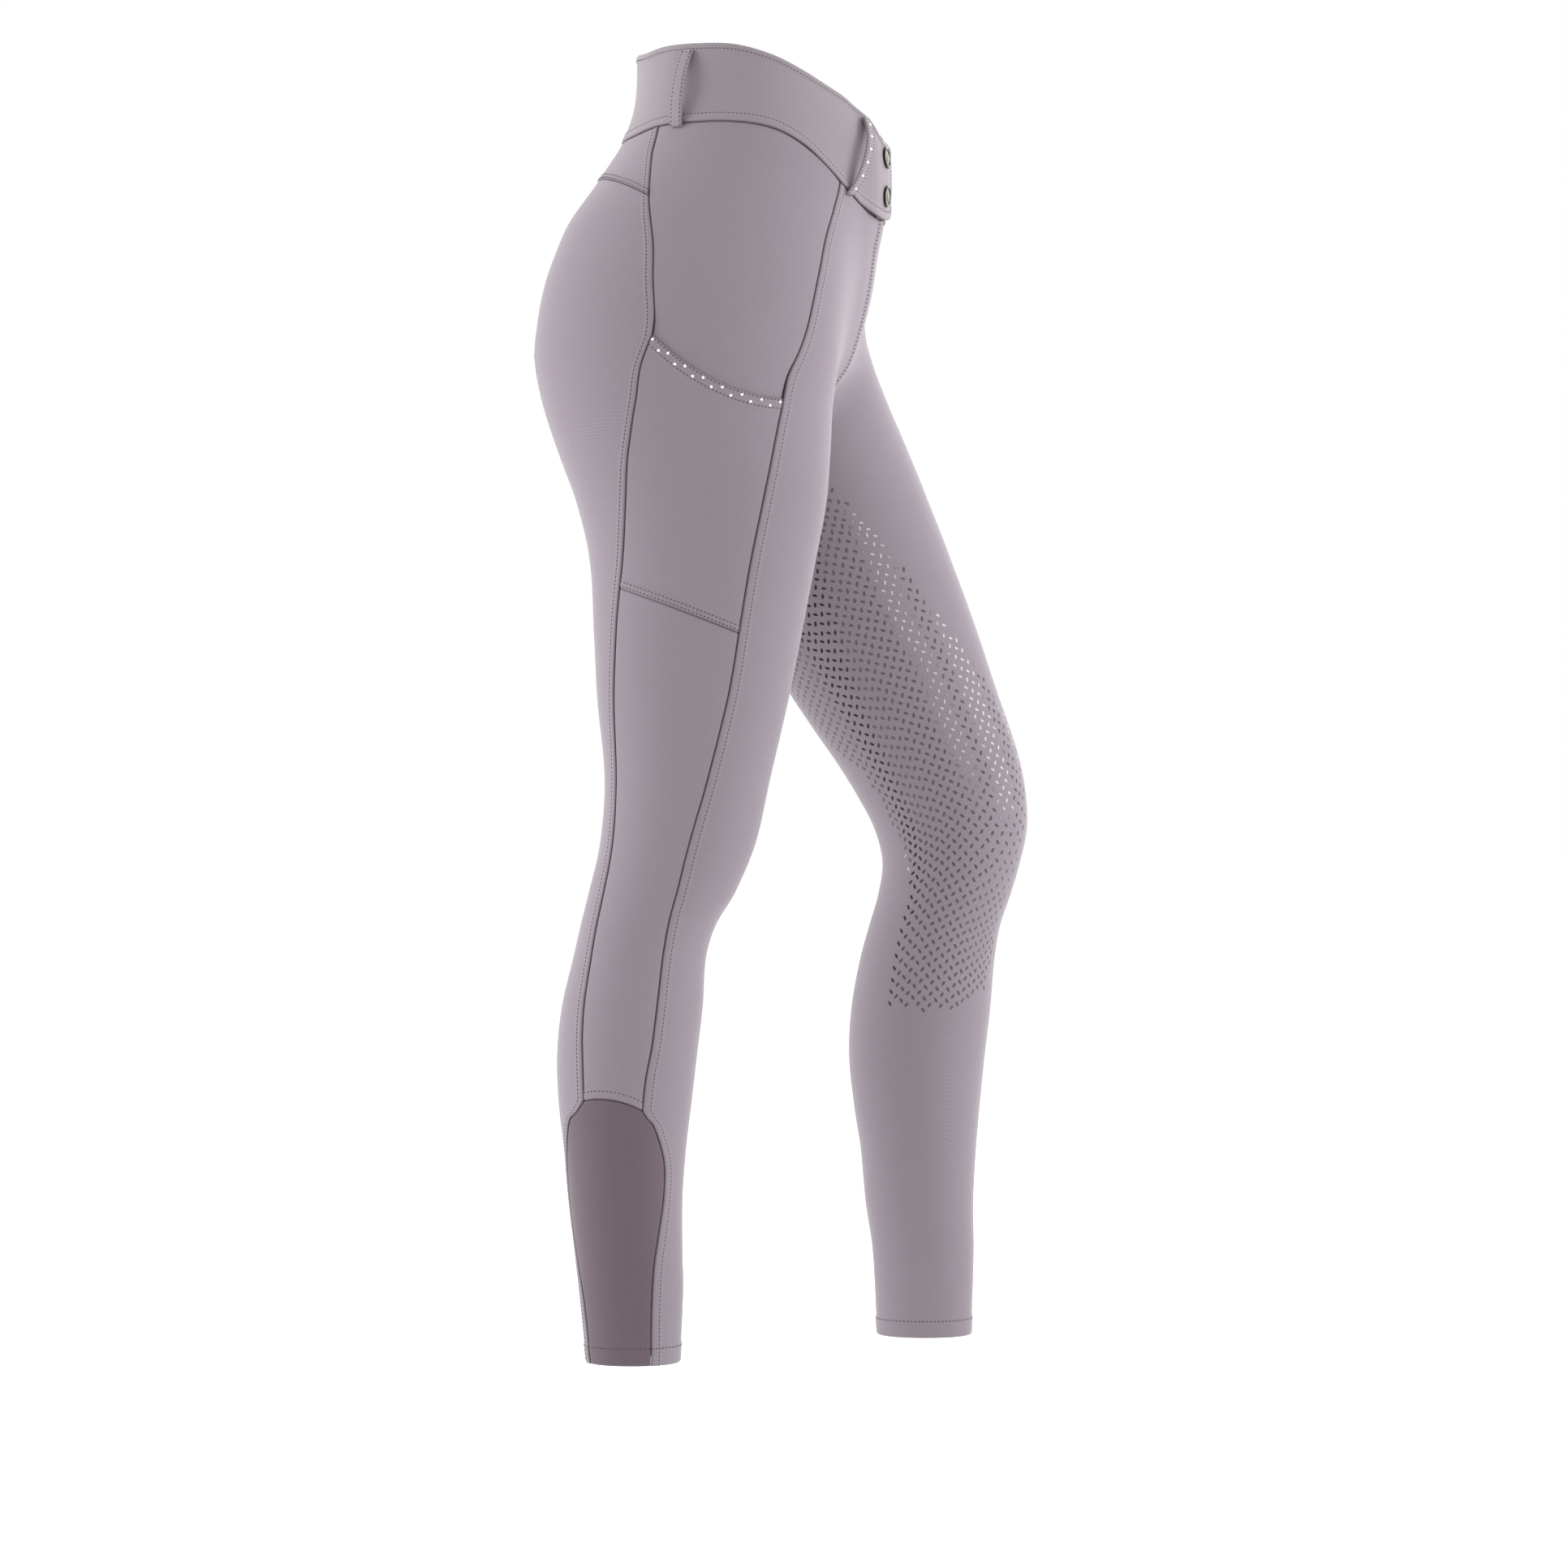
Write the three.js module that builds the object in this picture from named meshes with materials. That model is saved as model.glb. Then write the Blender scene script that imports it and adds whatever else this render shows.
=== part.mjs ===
import * as THREE from 'three';

// Riding breeches, filled out in a walking stance: right leg standing, left leg stepping forward.
// Millimetres, +Z up. The front is -Y and the wearer's right is -X.
// The origin is the centre of the waist ring, half-way up the waistband at the sides.
// The body of the garment is worked out in its own directions: forward, right and down.

// Driving dimensions
const clothWall = 1.6;
const bandWall = 3;
const bandLift = 0.6;
const pocketWall = 1.3;
const seamGap = 0.3;
const hipBlend = 24; // how softly the legs run into the hips
const gusset = { front: 34, back: 64 }; // how softly they run into each other, before and behind
const hemDown = 960;
const crotchPivot = { forward: -35, down: 180 };
const crotchDown = 264;
const crotchBow = 20; // the rows that meet at the crotch dip this far on the inside of the thigh
const turnAtWaist = THREE.MathUtils.degToRad(8); // the hips turn as the left leg steps out
const turnAtCrotch = THREE.MathUtils.degToRad(3);
const legRoundness = 2.1;
const frontRoundness = 1.85;
const backRoundness = 2.25;

// Columns across each panel and rows along it
const frontColumns = 8;
const backColumns = 9;
const sideColumns = 6;
const yokeRows = 3;
const openingRow = 12;
const crotchRow = 14;
const pocketBottomRow = 20;
const ankleRow = 35;
const hemRow = 44;

// Smooth curve through the rows of a table, held at its two ends.
function smoothCurve(at, value) {
  const last = at.length - 1;
  const slope = value.map((v, i) => {
    const a = Math.max(i - 1, 0);
    const b = Math.min(i + 1, last);
    return (value[b] - value[a]) / (at[b] - at[a]);
  });
  return (x) => {
    if (x <= at[0]) return value[0];
    if (x >= at[last]) return value[last];
    let i = 0;
    while (x > at[i + 1]) i += 1;
    const span = at[i + 1] - at[i];
    const t = (x - at[i]) / span;
    const rise = value[i] * (2 * t ** 3 - 3 * t * t + 1) + value[i + 1] * (3 * t * t - 2 * t ** 3);
    return rise + span * (slope[i] * (t ** 3 - 2 * t * t + t) + slope[i + 1] * (t ** 3 - t * t));
  };
}

function table(columns, rows) {
  const at = rows.map((row) => row[0]);
  const curves = {};
  columns.slice(1).forEach((name, c) => {
    curves[name] = smoothCurve(at, rows.map((row) => row[c + 1]));
  });
  return curves;
}

// Hips and seat: how far the section reaches forward, back and sideways at each height.
const hips = table(
  ['down', 'front', 'back', 'half'],
  [
    [-45, 82, -94, 116],
    [0, 87, -96, 120],
    [30, 94.5, -106, 127],
    [60, 96.5, -125, 138],
    [91, 94, -144, 149],
    [110, 90, -150, 153],
    [147, 84, -157, 156],
    [190, 72, -157, 148],
    [206, 64, -149, 140],
    [230, 44, -130, 122],
    [250, 20, -104, 98],
    [262, -4, -74, 72],
    [272, -18, -56, 54],
  ],
);

// Inner and outer edges of either leg, measured sideways from the middle.
const legWidth = table(
  ['down', 'inner', 'outer'],
  [
    [30, 20, 95],
    [60, 8, 122],
    [91, 2, 143],
    [110, 0, 152],
    [150, -1, 168],
    [200, -2, 176],
    [240, 2, 177],
    [268, 8, 174],
    [290, 14, 171],
    [310, 18, 167],
    [360, 23, 158],
    [410, 25, 151],
    [460, 28, 145],
    [520, 30, 138],
    [570, 31, 133],
    [605, 30, 130],
    [655, 29, 129],
    [700, 28, 131],
    [740, 30, 131],
    [780, 34, 128],
    [840, 42, 121],
    [900, 49, 115],
    [960, 52, 112],
  ],
);

// Back and front edges of the standing right leg.
const rightLeg = table(
  ['down', 'back', 'front'],
  [
    [30, -70, 40],
    [60, -105, 52],
    [91, -136, 58],
    [110, -149, 60],
    [147, -164, 62],
    [188, -171, 60],
    [207, -171, 58],
    [237, -165, 54],
    [274, -153, 52],
    [311, -139.5, 49],
    [354, -129.7, 41],
    [409, -126.6, 30.5],
    [458, -124.2, 20.7],
    [519, -118.7, 6.6],
    [568, -122.3, -4.5],
    [605, -130.9, -19.8],
    [630, -137.1, -34.6],
    [654, -142.6, -41.9],
    [691, -151.2, -44.4],
    [728, -154.9, -48.7],
    [765, -153.6, -53],
    [802, -149.3, -57.3],
    [838, -145.7, -59.7],
    [875, -141.4, -59.7],
    [906, -138.3, -59.1],
    [960, -132.8, -61.6],
  ],
);

// Back and front edges of the left leg, with its knee bent, and how far its rows tilt up to the front.
const leftLeg = table(
  ['down', 'back', 'front', 'tilt'],
  [
    [30, -70, 40, 0],
    [60, -105, 55, 0.04],
    [91, -134, 64, 0.1],
    [110, -146, 68, 0.14],
    [147, -159, 76, 0.22],
    [190, -158, 88, 0.31],
    [222, -143, 100.4, 0.37],
    [261, -110, 117.2, 0.41],
    [299, -79, 132.7, 0.44],
    [351, -42, 152.7, 0.44],
    [403, -8, 171.4, 0.43],
    [454, 23.5, 188.2, 0.38],
    [480, 40.9, 197.3, 0.33],
    [506, 59, 205, 0.27],
    [532, 75.2, 209.5, 0.2],
    [558, 88.7, 210.2, 0.12],
    [584, 95.2, 205, 0.05],
    [610, 92, 197.3, 0],
    [635, 84.8, 188.9, -0.03],
    [661, 77.7, 184.4, -0.05],
    [700, 70.6, 181.1, -0.06],
    [739, 68.7, 176.6, -0.06],
    [778, 72.6, 172.7, -0.06],
    [816, 78.4, 169.5, -0.06],
    [855, 82.3, 167.6, -0.05],
    [894, 87.4, 168, -0.04],
    [960, 91, 166, 0],
  ],
);

// Where the two side seams cross the outside of the leg, as a share of its depth from the back.
const backSeam = table(
  ['down', 'share'],
  [
    [34, 0.142],
    [85, 0.246],
    [122, 0.314],
    [147, 0.341],
    [189, 0.378],
    [219, 0.354],
    [243, 0.326],
    [279, 0.26],
    [315, 0.202],
    [363, 0.148],
    [399, 0.121],
    [459, 0.095],
    [519, 0.077],
    [568, 0.089],
    [604, 0.11],
    [653, 0.146],
    [689, 0.169],
    [725, 0.193],
    [760, 0.21],
    [777, 0.08],
    [802, 0.03],
    [838, 0.012],
    [875, 0.018],
    [906, 0.045],
    [960, 0.06],
  ],
);
const frontSeam = table(
  ['down', 'share'],
  [
    [34, 0.83],
    [68, 0.839],
    [104, 0.832],
    [142, 0.832],
    [179, 0.84],
    [203, 0.847],
    [234, 0.833],
    [277, 0.79],
    [313, 0.75],
    [361, 0.717],
    [407, 0.704],
    [458, 0.689],
    [519, 0.632],
    [568, 0.583],
    [604, 0.61],
    [629, 0.655],
    [653, 0.685],
    [690, 0.687],
    [726, 0.68],
    [767, 0.645],
    [778, 0.73],
    [789, 0.79],
    [802, 0.83],
    [838, 0.84],
    [875, 0.76],
    [906, 0.713],
    [960, 0.7],
  ],
);

// Upper and lower edge of the waistband, by the angle round the waist from the centre front.
const waistLine = table(
  ['angle', 'top', 'bottom'],
  [
    [0, 28.9, 87.1],
    [13, 28.5, 88.7],
    [18, 22.5, 88],
    [24, 14.5, 86.9],
    [30, 8.9, 84.2],
    [36, 4, 81],
    [42, -0.1, 76.3],
    [48, -3.1, 71],
    [56, -7.9, 59.4],
    [66, -15.4, 43.9],
    [78, -24.4, 32.1],
    [92, -31.5, 27.6],
    [106, -33.3, 27],
    [120, -33.9, 27.4],
    [135, -33, 31],
    [155, -37, 31],
    [180, -40, 29],
  ],
);

// Heights of the rows where the panels meet, at the back and front side seams.
const seamRow = [
  { row: 0, back: null, front: null }, // on the waistband
  { row: yokeRows, back: 85, front: 78 },
  { row: openingRow, back: 192, front: 238 },
  { row: pocketBottomRow, back: 377, front: 411 },
  { row: ankleRow, back: 760, front: 767 },
  { row: ankleRow + 2, back: 777, front: 780 },
  { row: hemRow, back: hemDown, front: hemDown },
];
const openingDip = 46; // the pocket mouth falls this far from the back seam to the front seam
const yokeDown = 60; // yoke seam at the centre back
const bandRows = 3;
const tabEnd = { from: -1, to: -3.5 }; // the tab laps over the centre front to the left
const tabCorner = 5;
const lapColumns = 3; // the left end runs on below it over this many columns
const tabRaised = { full: 20, none: 36 }; // it lies on the left end and comes down to the right of it
const loop = { width: 10, wall: 1.6, bow: 8.5, belowTop: 5, pastSeam: 4 };
// Angles round the waist of a loop's two ends, and its height there above the smooth waist, which
// the flat faces of the waistband cut a little inside of.
const frontLoop = { top: 28, bottom: 45, stand: 0.5 };
const backLoop = { top: 109.5, bottom: 111.5, stand: -0.1 };
const snapAngle = 10;
const snapHeights = [42, 71];
const snapRadius = 8.3;
const fromFront = -100; // lowest angles round a leg, of its front and of its side and back
const fromSide = 100;
const legs = {
  right: { sign: 1, edges: rightLeg, tilt: () => 0 },
  left: { sign: -1, edges: leftLeg, tilt: leftLeg.tilt },
};

const { degToRad, radToDeg, lerp, smoothstep } = THREE.MathUtils;

function turnAt(down) {
  return lerp(turnAtWaist, turnAtCrotch, smoothstep(down, 120, 270));
}

// Distance to a rounded section, measured from its middle: below zero inside.
function sectionField(forward, across, halfDepth, halfWidth, roundness) {
  const reach = Math.hypot(forward, across);
  const f = Math.abs(forward) / halfDepth;
  const a = Math.abs(across) / halfWidth;
  const share = Math.pow(f ** roundness + a ** roundness, 1 / roundness);
  return share < 1e-6 ? -Math.min(halfDepth, halfWidth) : reach - reach / share;
}

function hipField(forward, right, down) {
  const turn = turnAt(down);
  const along = forward * Math.cos(turn) + right * Math.sin(turn);
  const across = right * Math.cos(turn) - forward * Math.sin(turn);
  const front = hips.front(down);
  const back = hips.back(down);
  const middle = (front + back) / 2;
  const roundness = along > middle ? frontRoundness : backRoundness;
  const field = sectionField(along - middle, across, (front - back) / 2, hips.half(down), roundness);
  return Math.max(field, down - crotchDown);
}

function legAxis(leg, down) {
  return {
    forward: (leg.edges.front(down) + leg.edges.back(down)) / 2,
    across: (legWidth.outer(down) + legWidth.inner(down)) / 2,
  };
}

function legField(leg, forward, right, down) {
  const axis = legAxis(leg, down);
  const halfDepth = (leg.edges.front(down) - leg.edges.back(down)) / 2;
  const halfWidth = (legWidth.outer(down) - legWidth.inner(down)) / 2;
  const across = right * leg.sign - axis.across;
  return sectionField(forward - axis.forward, across, halfDepth, halfWidth, legRoundness);
}

function blend(a, b, width) {
  const h = Math.max(width - Math.abs(a - b), 0) / width;
  return Math.min(a, b) - (h * h * width) / 4;
}

// The whole outer surface of the cloth is where this is zero.
function clothField(forward, right, down) {
  const seat = smoothstep(-forward, 10, 100) * (1 - smoothstep(down, 225, 300));
  const legsField = blend(
    legField(legs.right, forward, right, down),
    legField(legs.left, forward, right, down),
    lerp(gusset.front, gusset.back, seat),
  );
  return blend(hipField(forward, right, down), legsField, hipBlend);
}

// First crossing of the surface from inside along a straight line.
function crossing(fieldAlong, farthest) {
  const step = 6;
  let near = 0;
  let far = step;
  while (far < farthest && fieldAlong(far) < 0) {
    near = far;
    far += step;
  }
  for (let i = 0; i < 22; i += 1) {
    const middle = (near + far) / 2;
    if (fieldAlong(middle) < 0) near = middle;
    else far = middle;
  }
  return (near + far) / 2;
}

function outward(forward, right, down) {
  const h = 0.4;
  const dForward = clothField(forward + h, right, down) - clothField(forward - h, right, down);
  const dRight = clothField(forward, right + h, down) - clothField(forward, right - h, down);
  const dDown = clothField(forward, right, down + h) - clothField(forward, right, down - h);
  return new THREE.Vector3(-dRight, -dForward, -dDown).normalize();
}

// A spot on the cloth: its place, and the way the cloth faces there.
function spotOf(forward, right, down) {
  return {
    place: new THREE.Vector3(-right, -forward, -down),
    facing: outward(forward, right, down),
    forward,
    right,
    down,
  };
}

// Place on a leg at an angle round it: 0 inside, 90 front, 180 outside, 270 back.
function legPlace(leg, angle, down) {
  const axis = legAxis(leg, down);
  const a = degToRad(angle);
  const at = (t) => [
    axis.forward + t * Math.sin(a),
    leg.sign * (axis.across - t * Math.cos(a)),
    down,
  ];
  return at(crossing((d) => clothField(...at(d)), 300));
}

function legSpot(leg, angle, down) {
  return spotOf(...legPlace(leg, angle, down));
}

// Moves a guessed place onto the surface, straight out or in.
function settle(place) {
  const spot = [...place];
  for (let i = 0; i < 10; i += 1) {
    const h = 0.4;
    const slope = spot.map((_, k) => {
      const ahead = [...spot];
      const behind = [...spot];
      ahead[k] += h;
      behind[k] -= h;
      return (clothField(...ahead) - clothField(...behind)) / (2 * h);
    });
    const steep = slope.reduce((sum, g) => sum + g * g, 0);
    const step = THREE.MathUtils.clamp(clothField(...spot) / steep, -8, 8);
    slope.forEach((g, k) => {
      spot[k] -= step * g;
    });
  }
  return spotOf(...spot);
}

// Angle of a spot round its leg, counted on from the lowest that its panel reaches.
function legAngle(leg, spot, lowest) {
  const axis = legAxis(leg, spot.down);
  const across = axis.across - spot.right * leg.sign;
  const angle = radToDeg(Math.atan2(spot.forward - axis.forward, across));
  return angle < lowest ? angle + 360 : angle;
}

// Spot at a share of the depth of the leg's outside, from its back edge to its front edge.
const extents = new Map();
function extent(leg, down) {
  const key = leg.sign + ' ' + down.toFixed(2);
  if (!extents.has(key)) {
    const reach = [];
    for (let angle = 60; angle <= 300; angle += 5) reach.push(legPlace(leg, angle, down)[0]);
    extents.set(key, { back: Math.min(...reach), front: Math.max(...reach) });
  }
  return extents.get(key);
}

function shareSpot(leg, share, down) {
  const { back, front } = extent(leg, down);
  const target = lerp(back, front, share);
  let low = 92;
  let high = 268;
  for (let i = 0; i < 22; i += 1) {
    const middle = (low + high) / 2;
    if (legPlace(leg, middle, down)[0] > target) low = middle;
    else high = middle;
  }
  return legSpot(leg, (low + high) / 2, down);
}

function waistAngle(spot) {
  const turn = turnAt(spot.down);
  const along = spot.forward * Math.cos(turn) + spot.right * Math.sin(turn);
  const across = spot.right * Math.cos(turn) - spot.forward * Math.sin(turn);
  return radToDeg(Math.atan2(across, along));
}

// Spot round the waist, by its angle from the centre front, to the right.
function waistSpot(angle, down) {
  const a = degToRad(angle) + turnAt(down);
  const at = (t) => [t * Math.cos(a), t * Math.sin(a), down];
  return spotOf(...at(crossing((d) => clothField(...at(d)), 300)));
}

// Follows the lower edge of the waistband: the spot that spotAt gives at the band's own height.
function onBand(spotAt) {
  let spot = spotAt(50);
  for (let i = 0; i < 12; i += 1) {
    spot = spotAt((spot.down + waistLine.bottom(Math.abs(waistAngle(spot)))) / 2);
  }
  return spot;
}

// Height along a side seam at a row, with the tilt of a raised thigh.
function seamSpot(leg, name, row) {
  const seam = name === 'back' ? backSeam : frontSeam;
  const spotAt = (station) => {
    const share = seam.share(station);
    const halfDepth = (leg.edges.front(station) - leg.edges.back(station)) / 2;
    const down = station - leg.tilt(station) * halfDepth * (2 * share - 1);
    return shareSpot(leg, share, down);
  };
  const top = onBand((down) => shareSpot(leg, seam.share(down), down));
  if (row === 0) return top;
  const next = seamRow.findIndex((mark) => mark.row >= row);
  const from = next === 1 ? top.down : seamRow[next - 1][name];
  const t = (row - seamRow[next - 1].row) / (seamRow[next].row - seamRow[next - 1].row);
  return spotAt(lerp(from, seamRow[next][name], t));
}

// The centre seam, from the waistband or yoke down to the crotch, in equal steps.
function centreSeam(towards, topDown, steps) {
  const spots = [];
  const at = (along, down) => {
    const turn = turnAt(down);
    return [along * Math.cos(turn), along * Math.sin(turn), down];
  };
  const startAlong = crotchPivot.forward;
  for (let down = topDown; down < crotchPivot.down; down += 4) {
    const t = crossing((d) => clothField(...at(startAlong + towards * d, down)), 260);
    spots.push(at(startAlong + towards * t, down));
  }
  for (let angle = 0; angle <= 90; angle += 2) {
    const a = degToRad(angle);
    const ray = (d) =>
      at(startAlong + towards * d * Math.cos(a), crotchPivot.down + d * Math.sin(a));
    const t = crossing((d) => clothField(...ray(d)), 260);
    spots.push(ray(t));
  }
  const curve = new THREE.CurvePath();
  const points = spots.map((spot) => new THREE.Vector3(...spot));
  for (let i = 1; i < points.length; i += 1) curve.add(new THREE.LineCurve3(points[i - 1], points[i]));
  return Array.from({ length: steps + 1 }, (_, i) => {
    const p = curve.getPointAt(i / steps);
    return evened(spotOf(p.x, p.y, p.z));
  });
}

// On the centre seam the cloth faces neither to the right nor to the left.
function evened(spot) {
  const turn = turnAt(spot.down);
  const across = new THREE.Vector3(-Math.cos(turn), Math.sin(turn), 0);
  spot.facing.addScaledVector(across, -spot.facing.dot(across)).normalize();
  return spot;
}

// The inside of the leg below the crotch.
function innerSpot(leg, row, crotch) {
  const t = (row - crotchRow) / (hemRow - crotchRow);
  const start = legAngle(leg, crotch, fromFront);
  const angle = start * (1 - smoothstep(t, 0, 0.3));
  return legSpot(leg, angle, lerp(crotch.down, hemDown, t));
}

const rowsOf = (from, to) => Array.from({ length: to - from + 1 }, (_, i) => from + i);

// A panel's grid between its inner line and its outer line, both lists of spots by row.
// topAt gives the spots of its first row, and the rows below ease from that edge to straight lines.
function panelGrid(leg, rows, inner, outer, columns, topAt, flatRow) {
  const lowest = legAngle(leg, outer[0], fromSide) > 180 ? fromSide : fromFront;
  const top = rowsOf(0, columns).map((j) => topAt(j / columns));
  const sag = top.map((spot, j) => spot.down - lerp(inner[0].down, outer[0].down, j / columns));
  const spotIn = (i, j) => {
    const u = j / columns;
    const ease = Math.max(0, 1 - i / flatRow);
    const angle = lerp(legAngle(leg, inner[i], lowest), legAngle(leg, outer[i], lowest), u);
    const bow = crotchBow * 4 * u * (1 - u) * Math.exp(-(((i - flatRow) / 2.5) ** 2));
    return legSpot(leg, angle, lerp(inner[i].down, outer[i].down, u) + sag[j] * ease + bow);
  };
  const half = Math.ceil(columns / 2);
  return rows.map((row, i) => {
    const middle = spotIn(i, half);
    return rowsOf(0, columns).map((j) => {
      if (j === 0) return inner[i];
      if (j === columns) return outer[i];
      if (i === 0) return top[j];
      if (j >= half || i > flatRow + 1) return spotIn(i, j);
      const along = ['forward', 'right', 'down'].map((k) => lerp(inner[i][k], middle[k], j / half));
      return settle(along);
    });
  });
}

function quadsOf(grid) {
  const quads = [];
  for (let i = 1; i < grid.length; i += 1) {
    for (let j = 1; j < grid[0].length; j += 1) {
      quads.push([grid[i - 1][j - 1], grid[i - 1][j], grid[i][j], grid[i][j - 1]]);
    }
  }
  return quads;
}

// Closed wall over quads of spots. Its outer face lies lift above each spot, and its edges draw in
// by half a seam gap, so that neighbours that share spots stay apart.
function clothSolid(quads, wall, lift = () => 0) {
  const index = new Map();
  const spots = [];
  quads.flat().forEach((spot) => {
    if (!index.has(spot)) {
      index.set(spot, spots.length);
      spots.push(spot);
    }
  });
  const loops = quads.map((quad) => quad.map((spot) => index.get(spot)));
  const middleOf = (loop) =>
    loop.reduce((sum, v) => sum.add(spots[v].place), new THREE.Vector3()).divideScalar(4);
  const [a, b, , d] = quads[0];
  const normal = b.place.clone().sub(a.place).cross(d.place.clone().sub(a.place));
  if (normal.dot(a.facing) < 0) loops.forEach((loop) => loop.reverse());

  const open = new Map();
  loops.forEach((loop) => {
    loop.forEach((v, k) => {
      const w = loop[(k + 1) % 4];
      const twin = w + ' ' + v;
      if (open.has(twin)) open.delete(twin);
      else open.set(v + ' ' + w, { v, w, loop });
    });
  });
  const edges = [...open.values()];
  const pull = spots.map(() => []);
  edges.forEach(({ v, w, loop }) => {
    const along = spots[w].place.clone().sub(spots[v].place).normalize();
    const inward = middleOf(loop).sub(spots[v].place);
    inward.addScaledVector(along, -inward.dot(along)).normalize();
    pull[v].push(inward);
    pull[w].push(inward);
  });
  const outer = spots.map((spot, i) => {
    const place = spot.place.clone().addScaledVector(spot.facing, lift(spot));
    if (!pull[i].length) return place;
    const [m, n = m] = pull[i];
    const mitre = m.clone().add(n).divideScalar(1 + Math.max(m.dot(n), -0.2));
    return place.addScaledVector(mitre, seamGap / 2);
  });
  const inner = outer.map((place, i) => place.clone().addScaledVector(spots[i].facing, -wall));

  const position = [...outer, ...inner].flatMap((p) => [p.x, p.y, p.z]);
  const under = spots.length;
  const faces = loops.flatMap(([p, q, r, s]) => [p, q, r, p, r, s]);
  const lining = loops.flatMap(([p, q, r, s]) => [r, q, p, s, r, p].map((v) => v + under));
  const rim = edges.flatMap(({ v, w }) => [w, v, v + under, w, v + under, w + under]);
  const geometry = new THREE.BufferGeometry();
  geometry.setAttribute('position', new THREE.Float32BufferAttribute(position, 3));
  geometry.setIndex([...faces, ...lining, ...rim]);
  geometry.computeVertexNormals();
  return geometry;
}

const clothFinish = { color: 0x958c93, roughness: 0.82, metalness: 0 };
const elasticFinish = { color: 0x7b6d77, roughness: 0.88, metalness: 0 };
const bandFinish = { color: 0xa09aa0, roughness: 0.8, metalness: 0 };
const snapFinish = { color: 0xc4c0bb, roughness: 0.25, metalness: 1 };

function piece(name, geometry, finish) {
  const mesh = new THREE.Mesh(geometry, new THREE.MeshStandardMaterial(finish));
  mesh.name = name;
  return mesh;
}

// All grids of one side of the garment.
function layOutSide(leg) {
  const back = rowsOf(0, hemRow).map((row) => seamSpot(leg, 'back', row));
  const front = rowsOf(0, hemRow).map((row) => seamSpot(leg, 'front', row));
  return { leg, back, front };
}

function frontTop(side, centre) {
  const { leg, front } = side;
  const from = legAngle(leg, centre[0], fromFront);
  const to = legAngle(leg, front[0], fromFront);
  return (u) => onBand((down) => legSpot(leg, lerp(from, to, u), down));
}

function backTop(side, centre, heightAt) {
  const { leg, back } = side;
  const from = legAngle(leg, centre[0], fromSide);
  const to = legAngle(leg, back[heightAt.row], fromSide);
  return (u) => heightAt.find((down) => legSpot(leg, lerp(from, to, u), down), u);
}

// The leg piece: a front half and a back half that are one below the crotch.
function legWrapGrids(side, centreFront, centreBack) {
  const { leg, back, front } = side;
  const crotch = centreFront[crotchRow];
  const inner = rowsOf(crotchRow + 1, hemRow).map((row) => innerSpot(leg, row, crotch));
  const frontInner = [...centreFront, ...inner];
  const backInner = [...centreBack.slice(0, -1), crotch, ...inner];
  const frontGrid = panelGrid(
    leg,
    rowsOf(0, hemRow),
    frontInner,
    front,
    frontColumns,
    frontTop(side, centreFront),
    crotchRow,
  );
  const yokeLine = {
    row: yokeRows,
    find: (spotAt, u) => spotAt(lerp(centreBack[0].down, back[yokeRows].down, u ** 2.6)),
  };
  const backGrid = panelGrid(
    leg,
    rowsOf(yokeRows, hemRow),
    backInner,
    back.slice(yokeRows),
    backColumns,
    backTop(side, centreBack, yokeLine),
    crotchRow - yokeRows,
  );
  return { frontGrid, backGrid };
}

function yokeGrid(side, centreSpots, yokeEdge) {
  const { leg, back } = side;
  const bandLine = { row: 0, find: onBand };
  const top = rowsOf(0, backColumns).map((j) =>
    backTop(side, centreSpots, bandLine)(j / backColumns),
  );
  return rowsOf(0, yokeRows).map((row) =>
    rowsOf(0, backColumns).map((j) => {
      if (row === yokeRows) return yokeEdge[j];
      if (j === backColumns) return back[row];
      if (j === 0) return centreSpots[row];
      const down = lerp(top[j].down, yokeEdge[j].down, row / yokeRows);
      const from = legAngle(leg, top[j], fromSide);
      const to = legAngle(leg, yokeEdge[j], fromSide);
      return row === 0 ? top[j] : legSpot(leg, lerp(from, to, row / yokeRows), down);
    }),
  );
}

// The outside of the leg between its two side seams.
function sideGrid(side, fromRow, toRow, bow = () => 0) {
  const { leg, back, front } = side;
  return rowsOf(fromRow, toRow).map((row) =>
    rowsOf(0, sideColumns).map((j) => {
      const u = j / sideColumns;
      if (j === 0) return back[row];
      if (j === sideColumns) return front[row];
      const from = legAngle(leg, back[row], fromSide);
      const angle = lerp(from, legAngle(leg, front[row], fromSide), u);
      if (row === 0) return onBand((down) => legSpot(leg, angle, down));
      const down = lerp(back[row].down, front[row].down, u) + bow(row, u);
      return legSpot(leg, angle, down);
    }),
  );
}

// The pocket mouth bows below a straight line between the seams, and the rows above and below follow.
function mouthBow(row, u) {
  const straight = openingDip * u;
  const curved = openingDip * (1 - (1 - u) ** 2);
  const away = row < openingRow ? row / openingRow : (pocketBottomRow - row) / 8;
  return (curved - straight) * away;
}

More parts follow.
